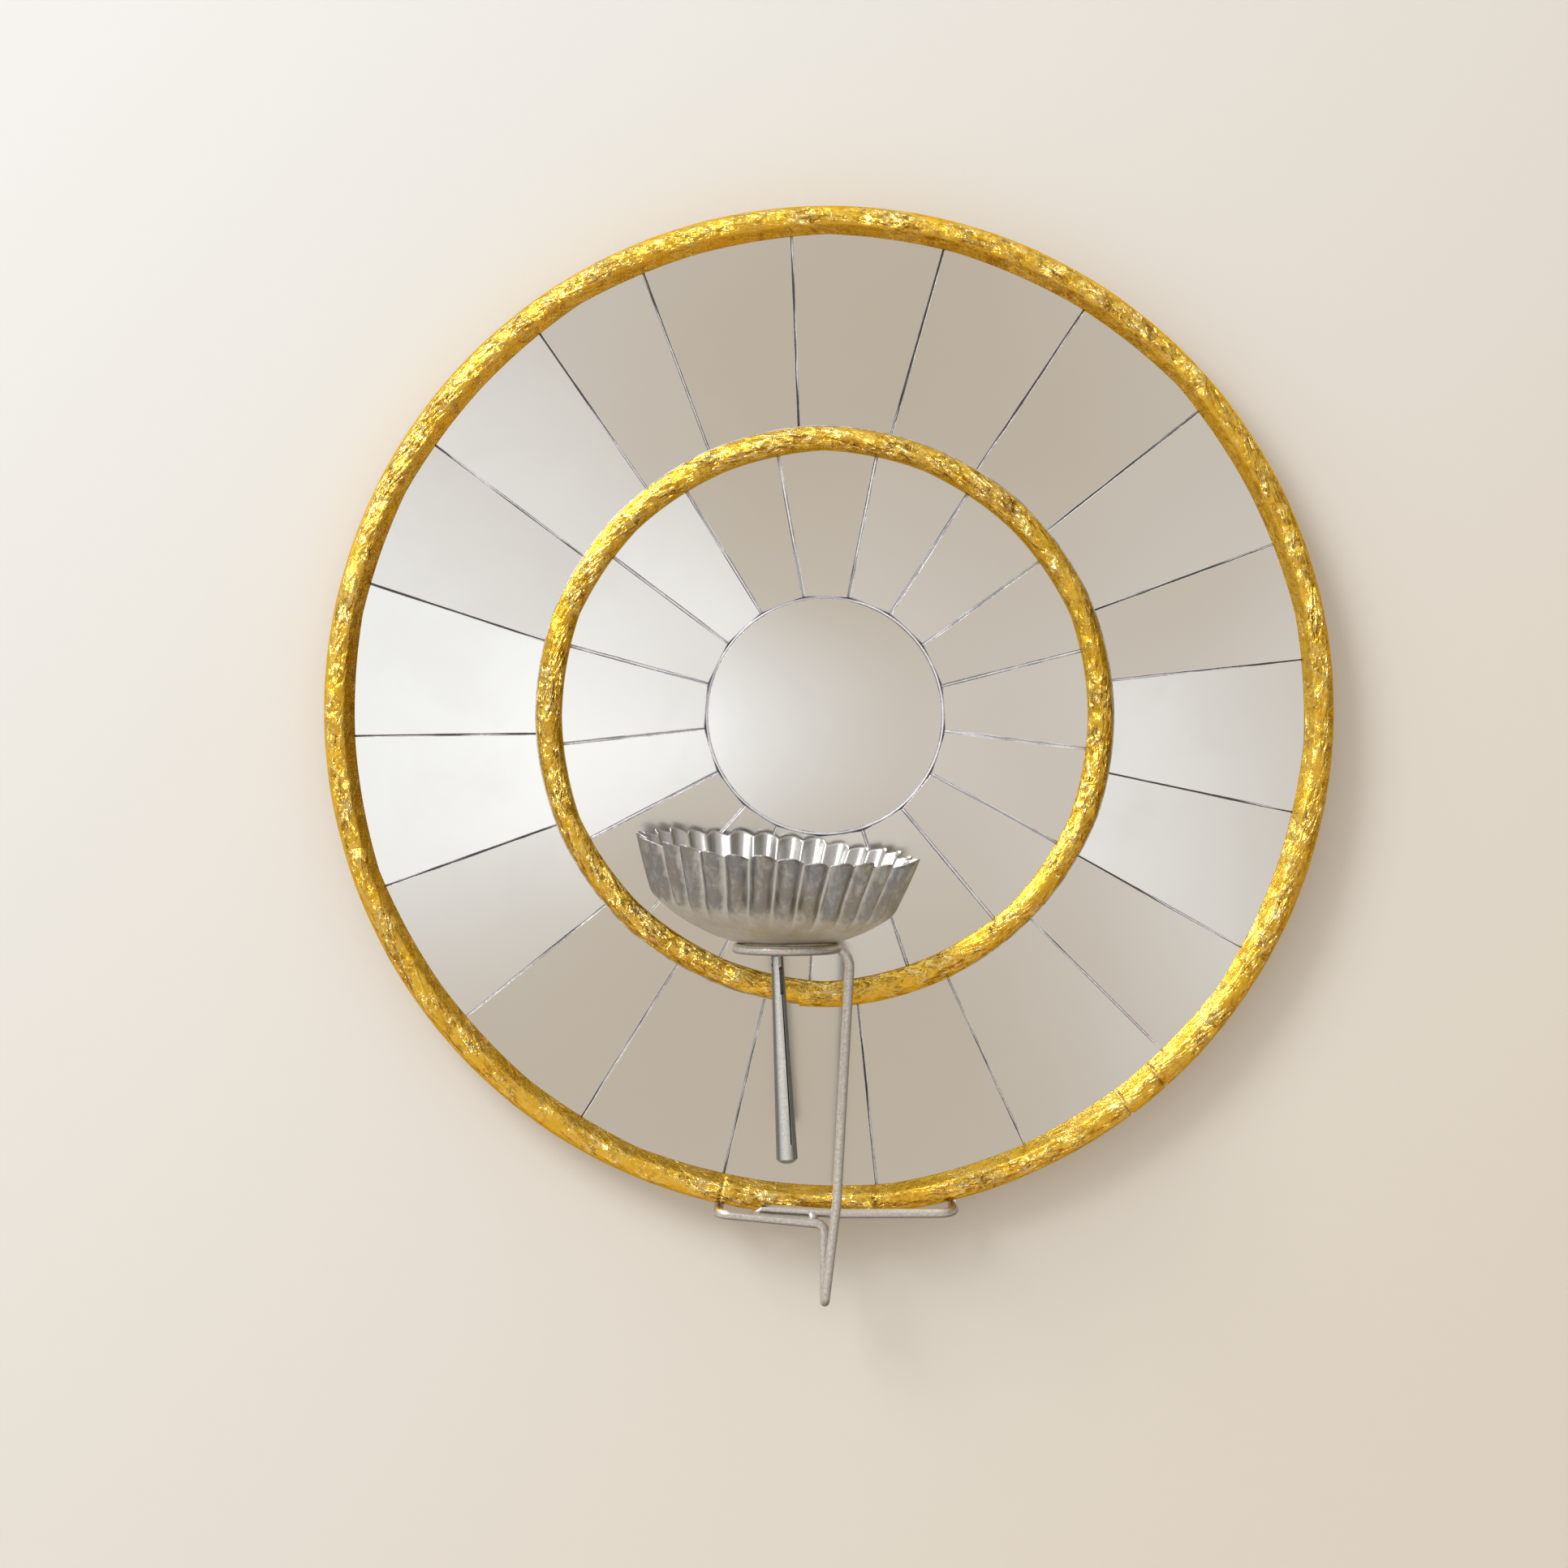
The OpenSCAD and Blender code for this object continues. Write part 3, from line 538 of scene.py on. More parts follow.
def tin_material():
    """Old tinplate: a painted dark reflection on the outside of the flutes, mottled and partly brown with
    oxide; bright along their folds and inside, with brushed streaks and a warm patina low down."""
    material, place = new_material("aged_tinplate")
    patina = place.group(blotch_group, Scale=42.0, Cover=0.52)
    browned = place.group(blotch_group, Scale=60.0, Cover=0.5)
    spots = place.group(blotch_group, Scale=210.0, Cover=0.5)
    grain = place.group(grain_group, Scale=1500.0)
    stretched = place.add("Mapping", {"Vector": place, "Scale": (1.0, 1.0, 0.12)})
    streaks = stretched.noise(420.0, 3.0, 0.6)
    low = place.axis("Z").ramp(-0.072, -0.090, 0.2, 1.0)
    tin = colours().tin
    clean = (low * patina.span(0.45, 1.0)).blend(tin, colours().tin_patina)
    crest = attribute(place, "crest")["Fac"]
    # Painted dark reflection on the flute crests, broken up by spots and streaks
    crest_painted_reflection = crest + spots.span(-0.25, 0.12) + streaks.ramp(0.35, 0.7, 0.15, -0.40)
    # The painted dark reflection, with brown oxide in patches
    oxide = browned.blend(colours().tin_painted_dark_reflection, colours().tin_brown)
    tinted = crest_painted_reflection.ramp(0.0, 0.9, 0.0, 0.95).blend(clean, oxide)
    speckled = grain["Mask"].span(0.0, 0.3).blend(tinted, shade(tin, 0.6))
    rough = crest.span(0.32, 0.38) + grain["Mask"].span(-0.03, 0.08)
    return coat(material, speckled, rough, (grain["Height"] + streaks * 0.6).bump(0.00014, 0.7))


def steel_material():
    """Plain steel of the weight and its stud, with a sparkling cast grain. It has painted shade on its
    sides, and is left bright in front and behind."""
    material, place = new_material("cast_steel")
    grain = place.group(grain_group, Scale=5200.0)
    steel = colours().steel
    grained = grain["Mask"].blend(shade(steel, 0.75), shade(steel, 1.35))
    # Painted shade: darker where the surface turns sideways
    painted_side_shade = surface_normal(place).axis("Y").math("ABSOLUTE").ramp(1.0, 0.7, 0.0, 0.95)
    return coat(material, painted_side_shade.blend(grained, shade(steel, 0.2)), grain["Mask"].span(0.36, 0.24),
                grain["Height"].bump(0.00016, 0.6))


def zinc_material():
    """Zinc plated plate, straps and screws."""
    material, place = new_material("zinc_plating")
    spangle = place.add("TexVoronoi", {"Vector": place, "Scale": 420.0}, feature="F1")["Color"]
    tone = spangle.span(0.0, 1.0)
    zinc = colours().zinc
    return coat(material, tone.blend(shade(zinc, 0.78), shade(zinc, 1.12)), tone.span(0.28, 0.42),
                place.noise(900.0).bump(0.0001))


def plywood_material():
    """Sanded birch plywood: long grain on the faces, plies on the edge."""
    material, place = new_material("birch_plywood")
    stretched = place.add("Mapping", {"Vector": place, "Scale": (1.0, 1.0, 0.06)})
    grain = stretched.noise(190.0, 6.0, 0.65)
    inputs = {"Vector": stretched, "Scale": 9.0, "Distortion": 7.0, "Detail": 3.0, "Detail Scale": 1.2}
    rings = place.add("TexWave", inputs, wave_type="BANDS", bands_direction="X")["Fac"]
    on_edge = surface_normal(place).axis("Y").math("ABSOLUTE").ramp(0.7, 0.3)
    plies = place.axis("Y").math("PINGPONG", 0.0014).ramp(0.0005, 0.0009)
    long_grain = grain.ramp(0.40, 0.66, 0.0, 0.6) + rings.ramp(0.2, 1.0, 0.0, 0.35)
    lines = place.add("Mix", {"Factor": on_edge, 2: long_grain, 3: plies}, data_type="FLOAT")
    return coat(material, lines.blend(colours().plywood, colours().plywood_grain),
                grain.ramp(0.3, 0.7, 0.5, 0.68), grain.bump(0.00025, 0.6), metallic=0.0)


# Mesh helpers

def make_piece(name, points, faces, makers, body, stands_for, smooth=True):
    """A new piece of the object that rides on a body and stands for CAD nodes."""
    mesh = bpy.data.meshes.new(name)
    mesh.from_pydata([tuple(p) for p in points], [], faces)
    for maker in makers:
        mesh.materials.append(made(maker))
    mesh.polygons.foreach_set("use_smooth", [smooth] * len(mesh.polygons))
    mesh.update()
    piece = bpy.data.objects.new(name, mesh)
    bpy.context.scene.collection.objects.link(piece)
    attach(piece, body)
    if stands_for:
        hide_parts(*stands_for)
    return piece


def give_points(piece, name, values, kind="FLOAT"):
    """Gives a piece's points values or vectors that its material reads under a name."""
    field = "value" if kind == "FLOAT" else "vector"
    piece.data.attributes.new(name, kind, "POINT").data.foreach_set(field, values)


def dress_node(node, maker):
    """Gives a CAD node whose shape is right a better material."""
    mesh = NODES[node].data
    mesh.materials.clear()
    mesh.materials.append(made(maker))


def skin_faces(rows, columns, closed=False, ends=True, first=0):
    """Faces over rows of points, each row a closed loop. The last row joins up with the first where
    closed; otherwise each end has a face of its own, unless it is left open."""
    faces = []
    for i in range(rows if closed else rows - 1):
        a = first + i * columns
        b = first + (i + 1) % rows * columns
        for j in range(columns):
            k = (j + 1) % columns
            faces.append((a + j, a + k, b + k, b + j))
    if ends and not closed:
        last = first + (rows - 1) * columns
        faces.append(tuple(range(first + columns - 1, first - 1, -1)))
        faces.append(tuple(range(last, last + columns)))
    return faces


def turned_over(faces):
    """The same faces, seen from their other side."""
    return [face[::-1] for face in faces]


def smoothstep(low, high, value):
    t = np.clip((value - low) / (high - low), 0.0, 1.0)
    return float(t * t * (3 - 2 * t))


def clockwise(angle):
    """Direction on the glass at an angle clockwise from the top, as (x, z)."""
    return np.array([math.sin(angle), math.cos(angle)])


def on_circle(centre, radius, angle, y):
    """A point at an angle clockwise from the top of a circle round a centre (x, z)."""
    return (centre[0] + radius * math.sin(angle), y, centre[1] + radius * math.cos(angle))


def side_way(section, i):
    """Direction across a section's line at one of its points, to the left of its run."""
    before = section[max(0, i - 1)]
    after = section[min(len(section) - 1, i + 1)]
    slope = np.array([after[0] - before[0], after[1] - before[1]])
    slope /= np.linalg.norm(slope)
    return np.array([-slope[1], slope[0]])


# Glass

SAME_PLACE = 0.01 * MM
BOW_SPAN = 40 * MM

# Pieces that were laid with a clear lean, as the turn of their faces to the right and up
OUTER_LEANS = {4: (-0.014, 0.008), 5: (0.024, 0.0), 6: (0.030, 0.006), 7: (-0.006, 0.0),
               11: (0.0, -0.008), 12: (0.002, -0.012), 13: (0.0, -0.005), 14: (0.0, 0.0),
               15: (0.0, 0.0), 16: (0.0, 0.014), 17: (-0.004, 0.0), 18: (0.0, 0.004)}
INNER_LEANS = {9: (0.004, -0.008), 10: (0.01, -0.016), 11: (0.026, -0.016), 15: (-0.006, -0.004),
               16: (0.010, 0.008), 17: (0.006, 0.004)}


def laid_lean(number_of_piece, clear_leans):
    """How a piece's face is turned: clearly for some, hardly for the others."""
    return np.array(clear_leans.get(number_of_piece, 0.005 * clockwise(2.4 * number_of_piece)))


def outline_of(node):
    """The four corners of a cut piece's front face, in order round its middle."""
    corners = []
    for vertex in NODES[node].data.vertices:
        point = np.array([vertex.co.x, vertex.co.z])
        if abs(vertex.co.y - FACE_Y) < SAME_PLACE:
            if all(np.linalg.norm(point - c) > SAME_PLACE for c in corners):
                corners.append(point)
    if len(corners) != 4:
        raise RuntimeError(f"{node} has {len(corners)} corners, not 4")
    middle = sum(corners) / 4
    return sorted(corners, key=lambda c: math.atan2(c[0] - middle[0], c[1] - middle[1]))


def edge_points(corners, spacing, wobble, seed):
    """Points along a straight-cut outline; the cut wanders a little, as a hand-run cutter does."""
    points = []
    middle = sum(corners) / len(corners)
    for i, corner in enumerate(corners):
        following = corners[(i + 1) % len(corners)]
        steps = max(2, int(np.linalg.norm(following - corner) / spacing))
        for k in range(steps):
            point = corner + (following - corner) * k / steps
            inward = (middle - point) / np.linalg.norm(middle - point)
            drift = 0.5 + 0.5 * noise.noise(Vector((point[0] * 160, point[1] * 160, seed)))
            points.append(point + inward * wobble * drift * (1 if k else 0))
    return points


def inset(points, distance):
    """The outline moved inwards by a distance, point by point."""
    count = len(points)
    moved = []
    for i in range(count):
        before = points[i - 1] - points[i]
        after = points[(i + 1) % count] - points[i]
        before /= np.linalg.norm(before)
        after /= np.linalg.norm(after)
        normal_b = np.array([after[1], -after[0]])
        normal = np.array([-before[1], before[0]]) + normal_b
        normal /= np.linalg.norm(normal)
        reach = distance / max(0.35, abs(float(normal @ normal_b)))
        moved.append((points[i], normal, reach))
    middle = sum(points) / count
    sign = 1 if float(moved[0][1] @ (middle - moved[0][0])) > 0 else -1
    return [p + sign * n * r for p, n, r in moved]


def glass_piece(name, node, corners, lean, bow, seed, chamfer, wobble=0.06 * MM):
    """One piece of mirror with a ground edge. It leans a little in its bed, as laid by hand; lean is
    the turn of its face as (x, z), and bow how much the face turns outwards over the bow span."""
    rim = edge_points(corners, 3 * MM, wobble, seed)
    middle = sum(rim) / len(rim)
    depth = sizes().glass_lean
    slope = depth / max(1e-9, max(abs(float((p - middle) @ lean)) for p in rim))

    def on_face(p, below):
        low = 0.5 + 0.5 * slope * float((p - middle) @ lean) / depth
        return (p[0], FACE_Y + below + depth * low, p[1])

    top = inset(rim, chamfer)
    count = len(rim)
    points = [on_face(p, 0.0) for p in top]
    points += [on_face(p, chamfer * 0.8) for p in rim]
    points += [(p[0], GLASS_BACK_Y, p[1]) for p in rim]
    piece = make_piece(name, points, skin_faces(3, count), (glass_material, glass_edge_material),
                       "root", [node], smooth=False)
    piece.data.polygons.foreach_set("material_index", [1] * (2 * count) + [0, 1])
    turns = []
    for p in top + rim + rim:
        turn = lean + bow * (p - middle) / BOW_SPAN
        turns += [turn[0], 0.0, turn[1]]
    give_points(piece, "lean", turns, "FLOAT_VECTOR")


class MIRROR_OT_glass(bpy.types.Operator):
    """Cut the radiating mirror pieces and the round centre piece"""
    bl_idname = "mirror.glass"
    bl_label = "Glass pieces"

    def execute(self, context):
        for nodes, leans, chamfer in ((OUTER_GLASS, OUTER_LEANS, sizes().outer_chamfer),
                                      (INNER_GLASS, INNER_LEANS, sizes().inner_chamfer)):
            for i, node in enumerate(nodes, start=1):
                glass_piece(f"glass_{node}", node, outline_of(node), laid_lean(i, leans),
                            -sizes().glass_hollow, i, chamfer)
        steps = 140
        middle = np.array([CENTRE.x, CENTRE.z])
        disc = [middle + CENTRE_R * clockwise(2 * math.pi * i / steps) for i in range(steps)]
        glass_piece("glass_centre", "centre_mirror", disc, np.array([0.001, 0.001]),
                    sizes().centre_bow, 99, sizes().inner_chamfer, wobble=0.0)
        return {"FINISHED"}


# Adhesive

SEAM_DEPTH = 0.5 * MM
SEAM_HOLLOW = 0.16 * MM
SEAM_LUMPS = 0.12 * MM
BEAD_GAP = 0.4 * MM


def seam_edges(node, centre):
    """The left and the right edge of a glass piece, each from its inner to its outer corner."""
    corners = outline_of(node)
    middle = sum(corners) / 4 - centre
    right = np.array([middle[1], -middle[0]])

    def reach(corner):
        return np.linalg.norm(corner - centre)

    by_side = sorted(corners, key=lambda c: float((c - centre) @ right) / reach(c))
    return sorted(by_side[:2], key=reach), sorted(by_side[2:], key=reach)


def seam_strips(nodes, centre):
    """Bars of adhesive between neighbouring pieces, a little hollow on top, as points, faces and
    places across. Low on the mirror the places are shifted so that more of each seam is painted lit,
    and at its top so that more of it is painted shade."""
    edges = [seam_edges(node, np.array(centre)) for node in nodes]
    points, faces, places = [], [], []
    steps = 24
    corners_round = 5
    for i, (_, right) in enumerate(edges):
        following = edges[(i + 1) % len(edges)][0]
        faces += skin_faces(steps + 1, corners_round, first=len(points))
        for k in range(steps + 1):
            a = right[0] + (right[1] - right[0]) * k / steps
            b = following[0] + (following[1] - following[0]) * k / steps
            lump = SEAM_LUMPS * noise.noise(Vector((a[0] * 210, a[1] * 210, 4.0)))
            # Painted light: seams low on the mirror are shown lit more, and at its top shaded more
            brighter = 0.35 * (smoothstep(0.02, 0.10, -a[1]) - smoothstep(0.10, 0.14, a[1]))
            top_y = FACE_Y + SEAM_DEPTH + lump
            for share_across, y in ((0.0, top_y), (0.5, top_y + SEAM_HOLLOW), (1.0, top_y),
                                    (1.0, GLASS_BACK_Y), (0.0, GLASS_BACK_Y)):
                p = a + (b - a) * share_across
                points.append((p[0], y, p[1]))
                places.append((share_across if i % 3 else 1 - share_across) - brighter)
    return points, faces, places


def ring_bead(centre, radius_at, radius, base_y):
    """A thin bead that runs round a circle, as points, faces and places across."""
    stations, corners_round = 360, 8
    turns = [2 * math.pi * j / corners_round for j in range(corners_round)]
    points = []
    for i in range(stations):
        angle = 2 * math.pi * i / stations
        for a in turns:
            reach = radius_at(angle) + radius * math.cos(a)
            points.append(on_circle(centre, reach, angle, base_y - radius * math.sin(a)))
    places = [0.5 + 0.5 * math.cos(a) for a in turns] * stations
    return points, skin_faces(stations, corners_round, closed=True), places


def along_inner_ring(angle):
    return INNER_RING_R + inner_edge_out(angle) - lap(angle) + 0.1 * MM


class MIRROR_OT_bed(bpy.types.Operator):
    """Finish the adhesive under the glass, in its seams and along the inner ring"""
    bl_idname = "mirror.bed"
    bl_label = "Adhesive"

    def execute(self, context):
        dress_node("adhesive_bed", bed_material)
        beads = (
            ("outer_seams", seam_strips(OUTER_GLASS, (0.0, 0.0)), outer_seam_material),
            ("inner_seams", seam_strips(INNER_GLASS, INNER_CENTRE), inner_seam_material),
            ("centre_seam", ring_bead((CENTRE.x, CENTRE.z), lambda angle: CENTRE_R + BEAD_GAP,
                                      0.42 * MM, FACE_Y + BEAD_GAP), centre_seam_material),
            ("inner_ring_bead", ring_bead(INNER_CENTRE, along_inner_ring, 0.45 * MM, FACE_Y),
             glue_material),
        )
        for name, (points, faces, places), maker in beads:
            bead = make_piece(name, points, faces, [maker], "root", [])
            give_points(bead, "side", places)
        return {"FINISHED"}


# Gold foil rings

def wander(kind, angle):
    """How far a ring's edge lies off its circle: straight runs between kinks, as a share."""
    kinks = 23 if kind == "outer" else 16
    spot = angle / (2 * math.pi) * kinks % kinks
    k = int(spot)
    part = spot - k
    here, following = math.sin(2.4 * k + 1), math.sin(2.4 * ((k + 1) % kinks) + 1)
    return 0.6 * (here + (following - here) * part) - 1.6 * part * (1 - part)


def lap(angle):
    """How far the foil's lapped end steps out of the inner ring."""
    past_start = math.degrees(angle) - LAP_AT + LAP_SPAN
    return LAP_STEP * past_start / LAP_SPAN if 0 <= past_start <= LAP_SPAN else 0.0


def crown_height(kind, a):
    """Share of the ring's height at a turn round its section. The outer ring has a sloped flank
    towards the glass, which ends in a soft fold."""
    full = max(0.0, math.sin(a)) ** CROWN_FULLNESS
    if kind == "inner":
        return full
    flank = (1 - math.cos(a)) / 2 / FLANK_SHARE
    sharpness = 9
    folded = -math.log(math.exp(-sharpness * flank) + math.exp(-sharpness * full)) / sharpness
    return max(0.0, min(full, folded + math.log(2) / sharpness))


def crown_points(kind, r_in, r_out, edge_in, edge_out, steps):
    """The ring's section as (radius, height above the glass)."""
    points = []
    for j in range(steps + 1):
        a = math.pi * j / steps
        across = (1 - math.cos(a)) / 2
        r = r_in + edge_in * (1 - across) + (r_out - r_in) * across + edge_out * across
        points.append((r, RING_H * crown_height(kind, a)))
    return points


def inner_edge_out(angle):
    """How far the inner ring's outer edge lies off its circle."""
    return 0.5 * sizes().foil_wander * wander("inner", angle + math.radians(70)) + lap(angle)


def facet_depth(place, scale):
    """Depth on flat facets, each turned its own way, with a sharp fold where two meet."""
    spot = place * scale
    near, seeds = noise.voronoi(spot)
    lean = noise.cell_vector(seeds[0] * 53.0) - Vector((0.5, 0.5, 0.5))
    fold = max(0.0, 0.35 - (near[1] - near[0])) * 0.5
    return (spot - seeds[0]).dot(lean) * 1.5 + fold


def crumple(place, sheet, smooth_side):
    """Depth of the crumples at a place, from 0 on the ridges to 1 in the folds."""
    bent = place + 0.003 * noise.noise_vector(place * 110)
    broad = 0.3 * noise.noise(bent * 70)
    wrinkle = 0.84 - noise.ridged_multi_fractal(sheet * 140, 0.9, 2.1, 2, 0.9, 2.0)
    facets = facet_depth(bent, 120)
    rough = 0.45 + 0.18 * facets + 0.08 * facet_depth(bent, 300) + 0.22 * wrinkle + broad
    calm = 0.4 + 0.1 * facets + 0.06 * wrinkle + 0.7 * broad
    return max(0.0, min(1.0, rough * (1 - smooth_side) + calm * smooth_side))


def on_sheet(angle, radius, arc):
    """A place on the foil before it was laid: pulled along the ring, so that wrinkles run that way."""
    return Vector(on_circle((0, 0), FOIL_PULL * radius, angle + FOIL_SLANT * arc / radius, arc))


def calm_share(kind, place, across):
    """How smoothly the foil lies: on the flank towards the glass, on the outer side, and in patches."""
    patch = smoothstep(0.05, 0.45, noise.noise(place * 62))
    if kind == "outer":
        side = max(0.8 - 0.8 * smoothstep(0.26, 0.34, across), smoothstep(0.55, 0.66, across))
    else:
        side = 0.5 * (1 - smoothstep(0.08, 0.25, across))
    return max(side, 0.7 * patch)


def foil_joint(angle):
    """Share of the depth of the thin cracks where two lengths of foil meet on the outer ring."""
    off = [(angle - math.radians(joint)) * MIRROR_R / FOIL_JOINT_W for joint in FOIL_JOINTS]
    return max(math.exp(-o * o) for o in off)


def ring_mesh(name, node, kind, r_in, r_out, centre, stations, steps):
    """A foil-covered ring: its section carried round, with crumples and wandering edges. The outer
    one wraps the board's side."""
    points, calm, sheets = [], [], []
    wraps = kind == "outer"
    for i in range(stations):
        angle = 2 * math.pi * i / stations
        edge_in = sizes().foil_wander * wander(kind, angle)
        section = crown_points(kind, r_in, r_out, edge_in, 0.0 if wraps else inner_edge_out(angle), steps)
        if wraps:
            r_last = section.pop()[0]
            section += [(r_last - WRAP_DRAFT * s, -WRAP_BACK * s) for s in np.linspace(0.0, 1.0, 13)[1:]]
        arc = 0.0
        for j, (r, h) in enumerate(section):
            out = side_way(section, j)
            arc += math.dist(section[max(0, j - 1)], (r, h))
            sheet = on_sheet(angle, r_out, arc)
            across = j / (len(section) - 1)
            place = Vector(on_circle(centre, r, angle, -h))
            smooth_side = calm_share(kind, place, across)
            ends = min(1.0, 5 * across) * min(1.0, 5 * (1 - across))
            depth = sizes().foil_crumple * crumple(place, sheet, smooth_side) * (0.2 + 0.8 * ends)
            if wraps:
                depth += FOIL_JOINT_DEPTH * foil_joint(angle) * ends
            points.append(on_circle(centre, r - out[0] * depth, angle, FACE_Y - h + out[1] * depth))
            calm.append(0.85 * smooth_side)
            sheets.extend(sheet)
        if wraps:
            for y in (FACE_Y + WRAP_BACK, FACE_Y):
                points.append(on_circle(centre, MIRROR_R - WRAP_T, angle, y))
                calm.append(0.85)
                sheets.extend(sheet)
    faces = turned_over(skin_faces(stations, len(points) // stations, closed=True))
    ring = make_piece(name, points, faces, [foil_material], "root", [node])
    give_points(ring, "calm", calm)
    give_points(ring, "sheet", sheets, "FLOAT_VECTOR")


class MIRROR_OT_gold_rings(bpy.types.Operator):
    """Lay the two crumpled gold foil rings"""
    bl_idname = "mirror.gold_rings"
    bl_label = "Gold foil rings"

    def execute(self, context):
        # Without a seed, noise_vector starts from the clock and the foil differs from run to run
        noise.seed_set(FOIL_SEED)
        ring_mesh("foil_outer_ring", "outer_gold_ring", "outer", MIRROR_R - OUTER_RING_W, MIRROR_R,
                  (0.0, 0.0), 2200, 36)
        ring_mesh("foil_inner_ring", "inner_gold_ring", "inner", INNER_RING_R - INNER_RING_W,
                  INNER_RING_R, INNER_CENTRE, 1300, 30)
        return {"FINISHED"}


# Boards and hanger

class MIRROR_OT_boards(bpy.types.Operator):
    """Finish the plywood board and the spacer disc"""
    bl_idname = "mirror.boards"
    bl_label = "Plywood boards"

    def execute(self, context):
        for node in ("back_board", "back_spacer"):
            dress_node(node, plywood_material)
        return {"FINISHED"}


def cross_reach(angle, arm, half_width):
    """Distance from the middle of a cross recess to its edge."""
    along, across = abs(math.cos(angle)) + 1e-9, abs(math.sin(angle)) + 1e-9
    return max(min(arm / along, half_width / across), min(half_width / along, arm / across))


def screw_rows(head_r, shank_r, head_depth, length_below, domed):
    """A screw from its tip to the floor of its cross recess, as rows of (radius, share of the cross,
    height above the seat or face)."""
    rows = [(0.3 * shank_r, 0.0, -length_below), (shank_r, 0.0, shank_r - length_below)]
    if domed:
        face = head_depth
        rows += [(shank_r, 0.0, 0.0), (head_r, 0.0, 0.0), (head_r, 0.0, 0.4 * face),
                 (0.92 * head_r, 0.0, 0.7 * face), (0.78 * head_r, 0.0, 0.94 * face)]
    else:
        face = 0.0
        rows += [(shank_r, 0.0, -head_depth), (head_r, 0.0, -0.06 * head_r), (0.97 * head_r, 0.0, 0.0)]
    return rows + [(0.62 * head_r, 1.0, face - 0.02 * head_r), (0.42 * head_r, 1.0, face - 0.2 * head_r),
                   (0.25 * head_r, 0.0, face - 0.35 * head_depth - 0.3 * head_r)]


def screws(node, head_r, shank_r, head_depth, domed):
    """Screws at the corners of the node's box, each turned its own way."""
    low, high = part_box(node)
    seat_y = high.y - (head_depth if domed else 0.0)
    rows = screw_rows(head_r, shank_r, head_depth, seat_y - low.y, domed)
    columns = 64
    slot_half_w = 0.14 * head_r
    heights = sorted({round(low.z + head_r, 6), round(high.z - head_r, 6)})
    points, faces = [], []
    for x in (low.x + head_r, high.x - head_r):
        for z in heights:
            faces += skin_faces(len(rows), columns, first=len(points))
            for r, cross, height in rows:
                for j in range(columns):
                    a = 2 * math.pi * j / columns
                    reach = r * (1 - cross) + cross_reach(a, r, slot_half_w) * cross
                    points.append(on_circle((x, z), reach, a + 40 * (x + 2 * z), seat_y + height))
    piece = make_piece(f"crossed_{node}", points, faces, [zinc_material], "root", [node])
    piece.data.set_sharp_from_angle(angle=math.radians(35))


class MIRROR_OT_fixings(bpy.types.Operator):
    """Finish the hanging plate and the straps, and turn the screws"""
    bl_idname = "mirror.fixings"
    bl_label = "Plate, straps and screws"

    def execute(self, context):
        for node in ("hanging_plate", "wire_saddles"):
            dress_node(node, zinc_material)
        screws("spacer_screws", 3.5 * MM, 1.75 * MM, 2.2 * MM, domed=False)
        screws("plate_screws", 2.5 * MM, 1.25 * MM, 1.5 * MM, domed=False)
        screws("saddle_screws", 2.5 * MM, 1.25 * MM, 1.35 * MM, domed=True)
        return {"FINISHED"}


# Wire holder

def hook_z(x):
    """Height at which the wire passes just under the mirror's edge."""
    return -math.sqrt(MIRROR_R ** 2 - x ** 2) - WIRE_D / 2 - WIRE_GAP


def wire_route():
    """Corners of the wire with their bend radii, from the cut end to the cup ring."""
    leg_y = RUN_Y - 2 * WIRE_D
    bottom_z = WIRE_D / 2 - MIRROR_R - 35.5 * MM
    loop_y = BOARD_BACK_Y + WIRE_D / 2 + 0.1 * MM
    loop_z = 40 * MM - MIRROR_R
    loop_taper = 3.5 * MM
    right, left = 53 * MM, 47 * MM
    spine_x = -2 * MM
    ring_back_y = CUP_RING_AT.y + CUP_RING_R
    tight_bend = 4 * MM
    return [
        ((-33 * MM, BAR_Y, BAR_Z + 2 * MM), 0),
        ((4 * MM, BAR_Y, BAR_Z - 0.2 * MM), 60 * MM),
        ((right, BAR_Y, BAR_Z), 7 * MM),
        ((right, loop_y, hook_z(right)), tight_bend),
        ((right - loop_taper, loop_y, loop_z), 8 * MM),
        ((loop_taper - left, loop_y, loop_z), 8 * MM),
        ((-left, loop_y, hook_z(left)), tight_bend),
        ((-left, RUN_Y, hook_z(left)), 5 * MM),
        ((spine_x, RUN_Y, BAR_Z - 4.2 * MM), tight_bend),
        ((spine_x, RUN_Y, bottom_z), tight_bend),
        ((spine_x, leg_y, bottom_z), tight_bend),
        ((2.7 * MM, leg_y - 12 * MM, bottom_z + 43 * MM), 90 * MM),
        ((CUP_RING_AT.x + 26 * MM, ring_back_y, CUP_RING_AT.z), 9 * MM),
        ((CUP_RING_AT.x, ring_back_y, CUP_RING_AT.z), 0),
    ]


def rounded(route, steps):
    """Points of a route whose corners are arcs."""
    corners = [Vector(c) for c, radius in route]
    points = [corners[0]]
    for i in range(1, len(route) - 1):
        radius = route[i][1]
        u = (corners[i] - corners[i - 1]).normalized()
        v = (corners[i + 1] - corners[i]).normalized()
        turn = u.angle(v)
        middle = corners[i] + (v - u).normalized() * radius / math.cos(turn / 2)
        start = corners[i] - u * radius * math.tan(turn / 2) - middle
        for k in range(steps + 1):
            a = turn * k / steps
            points.append(middle + start * math.cos(a) + u * radius * math.sin(a))
    points.append(corners[-1])
    return points


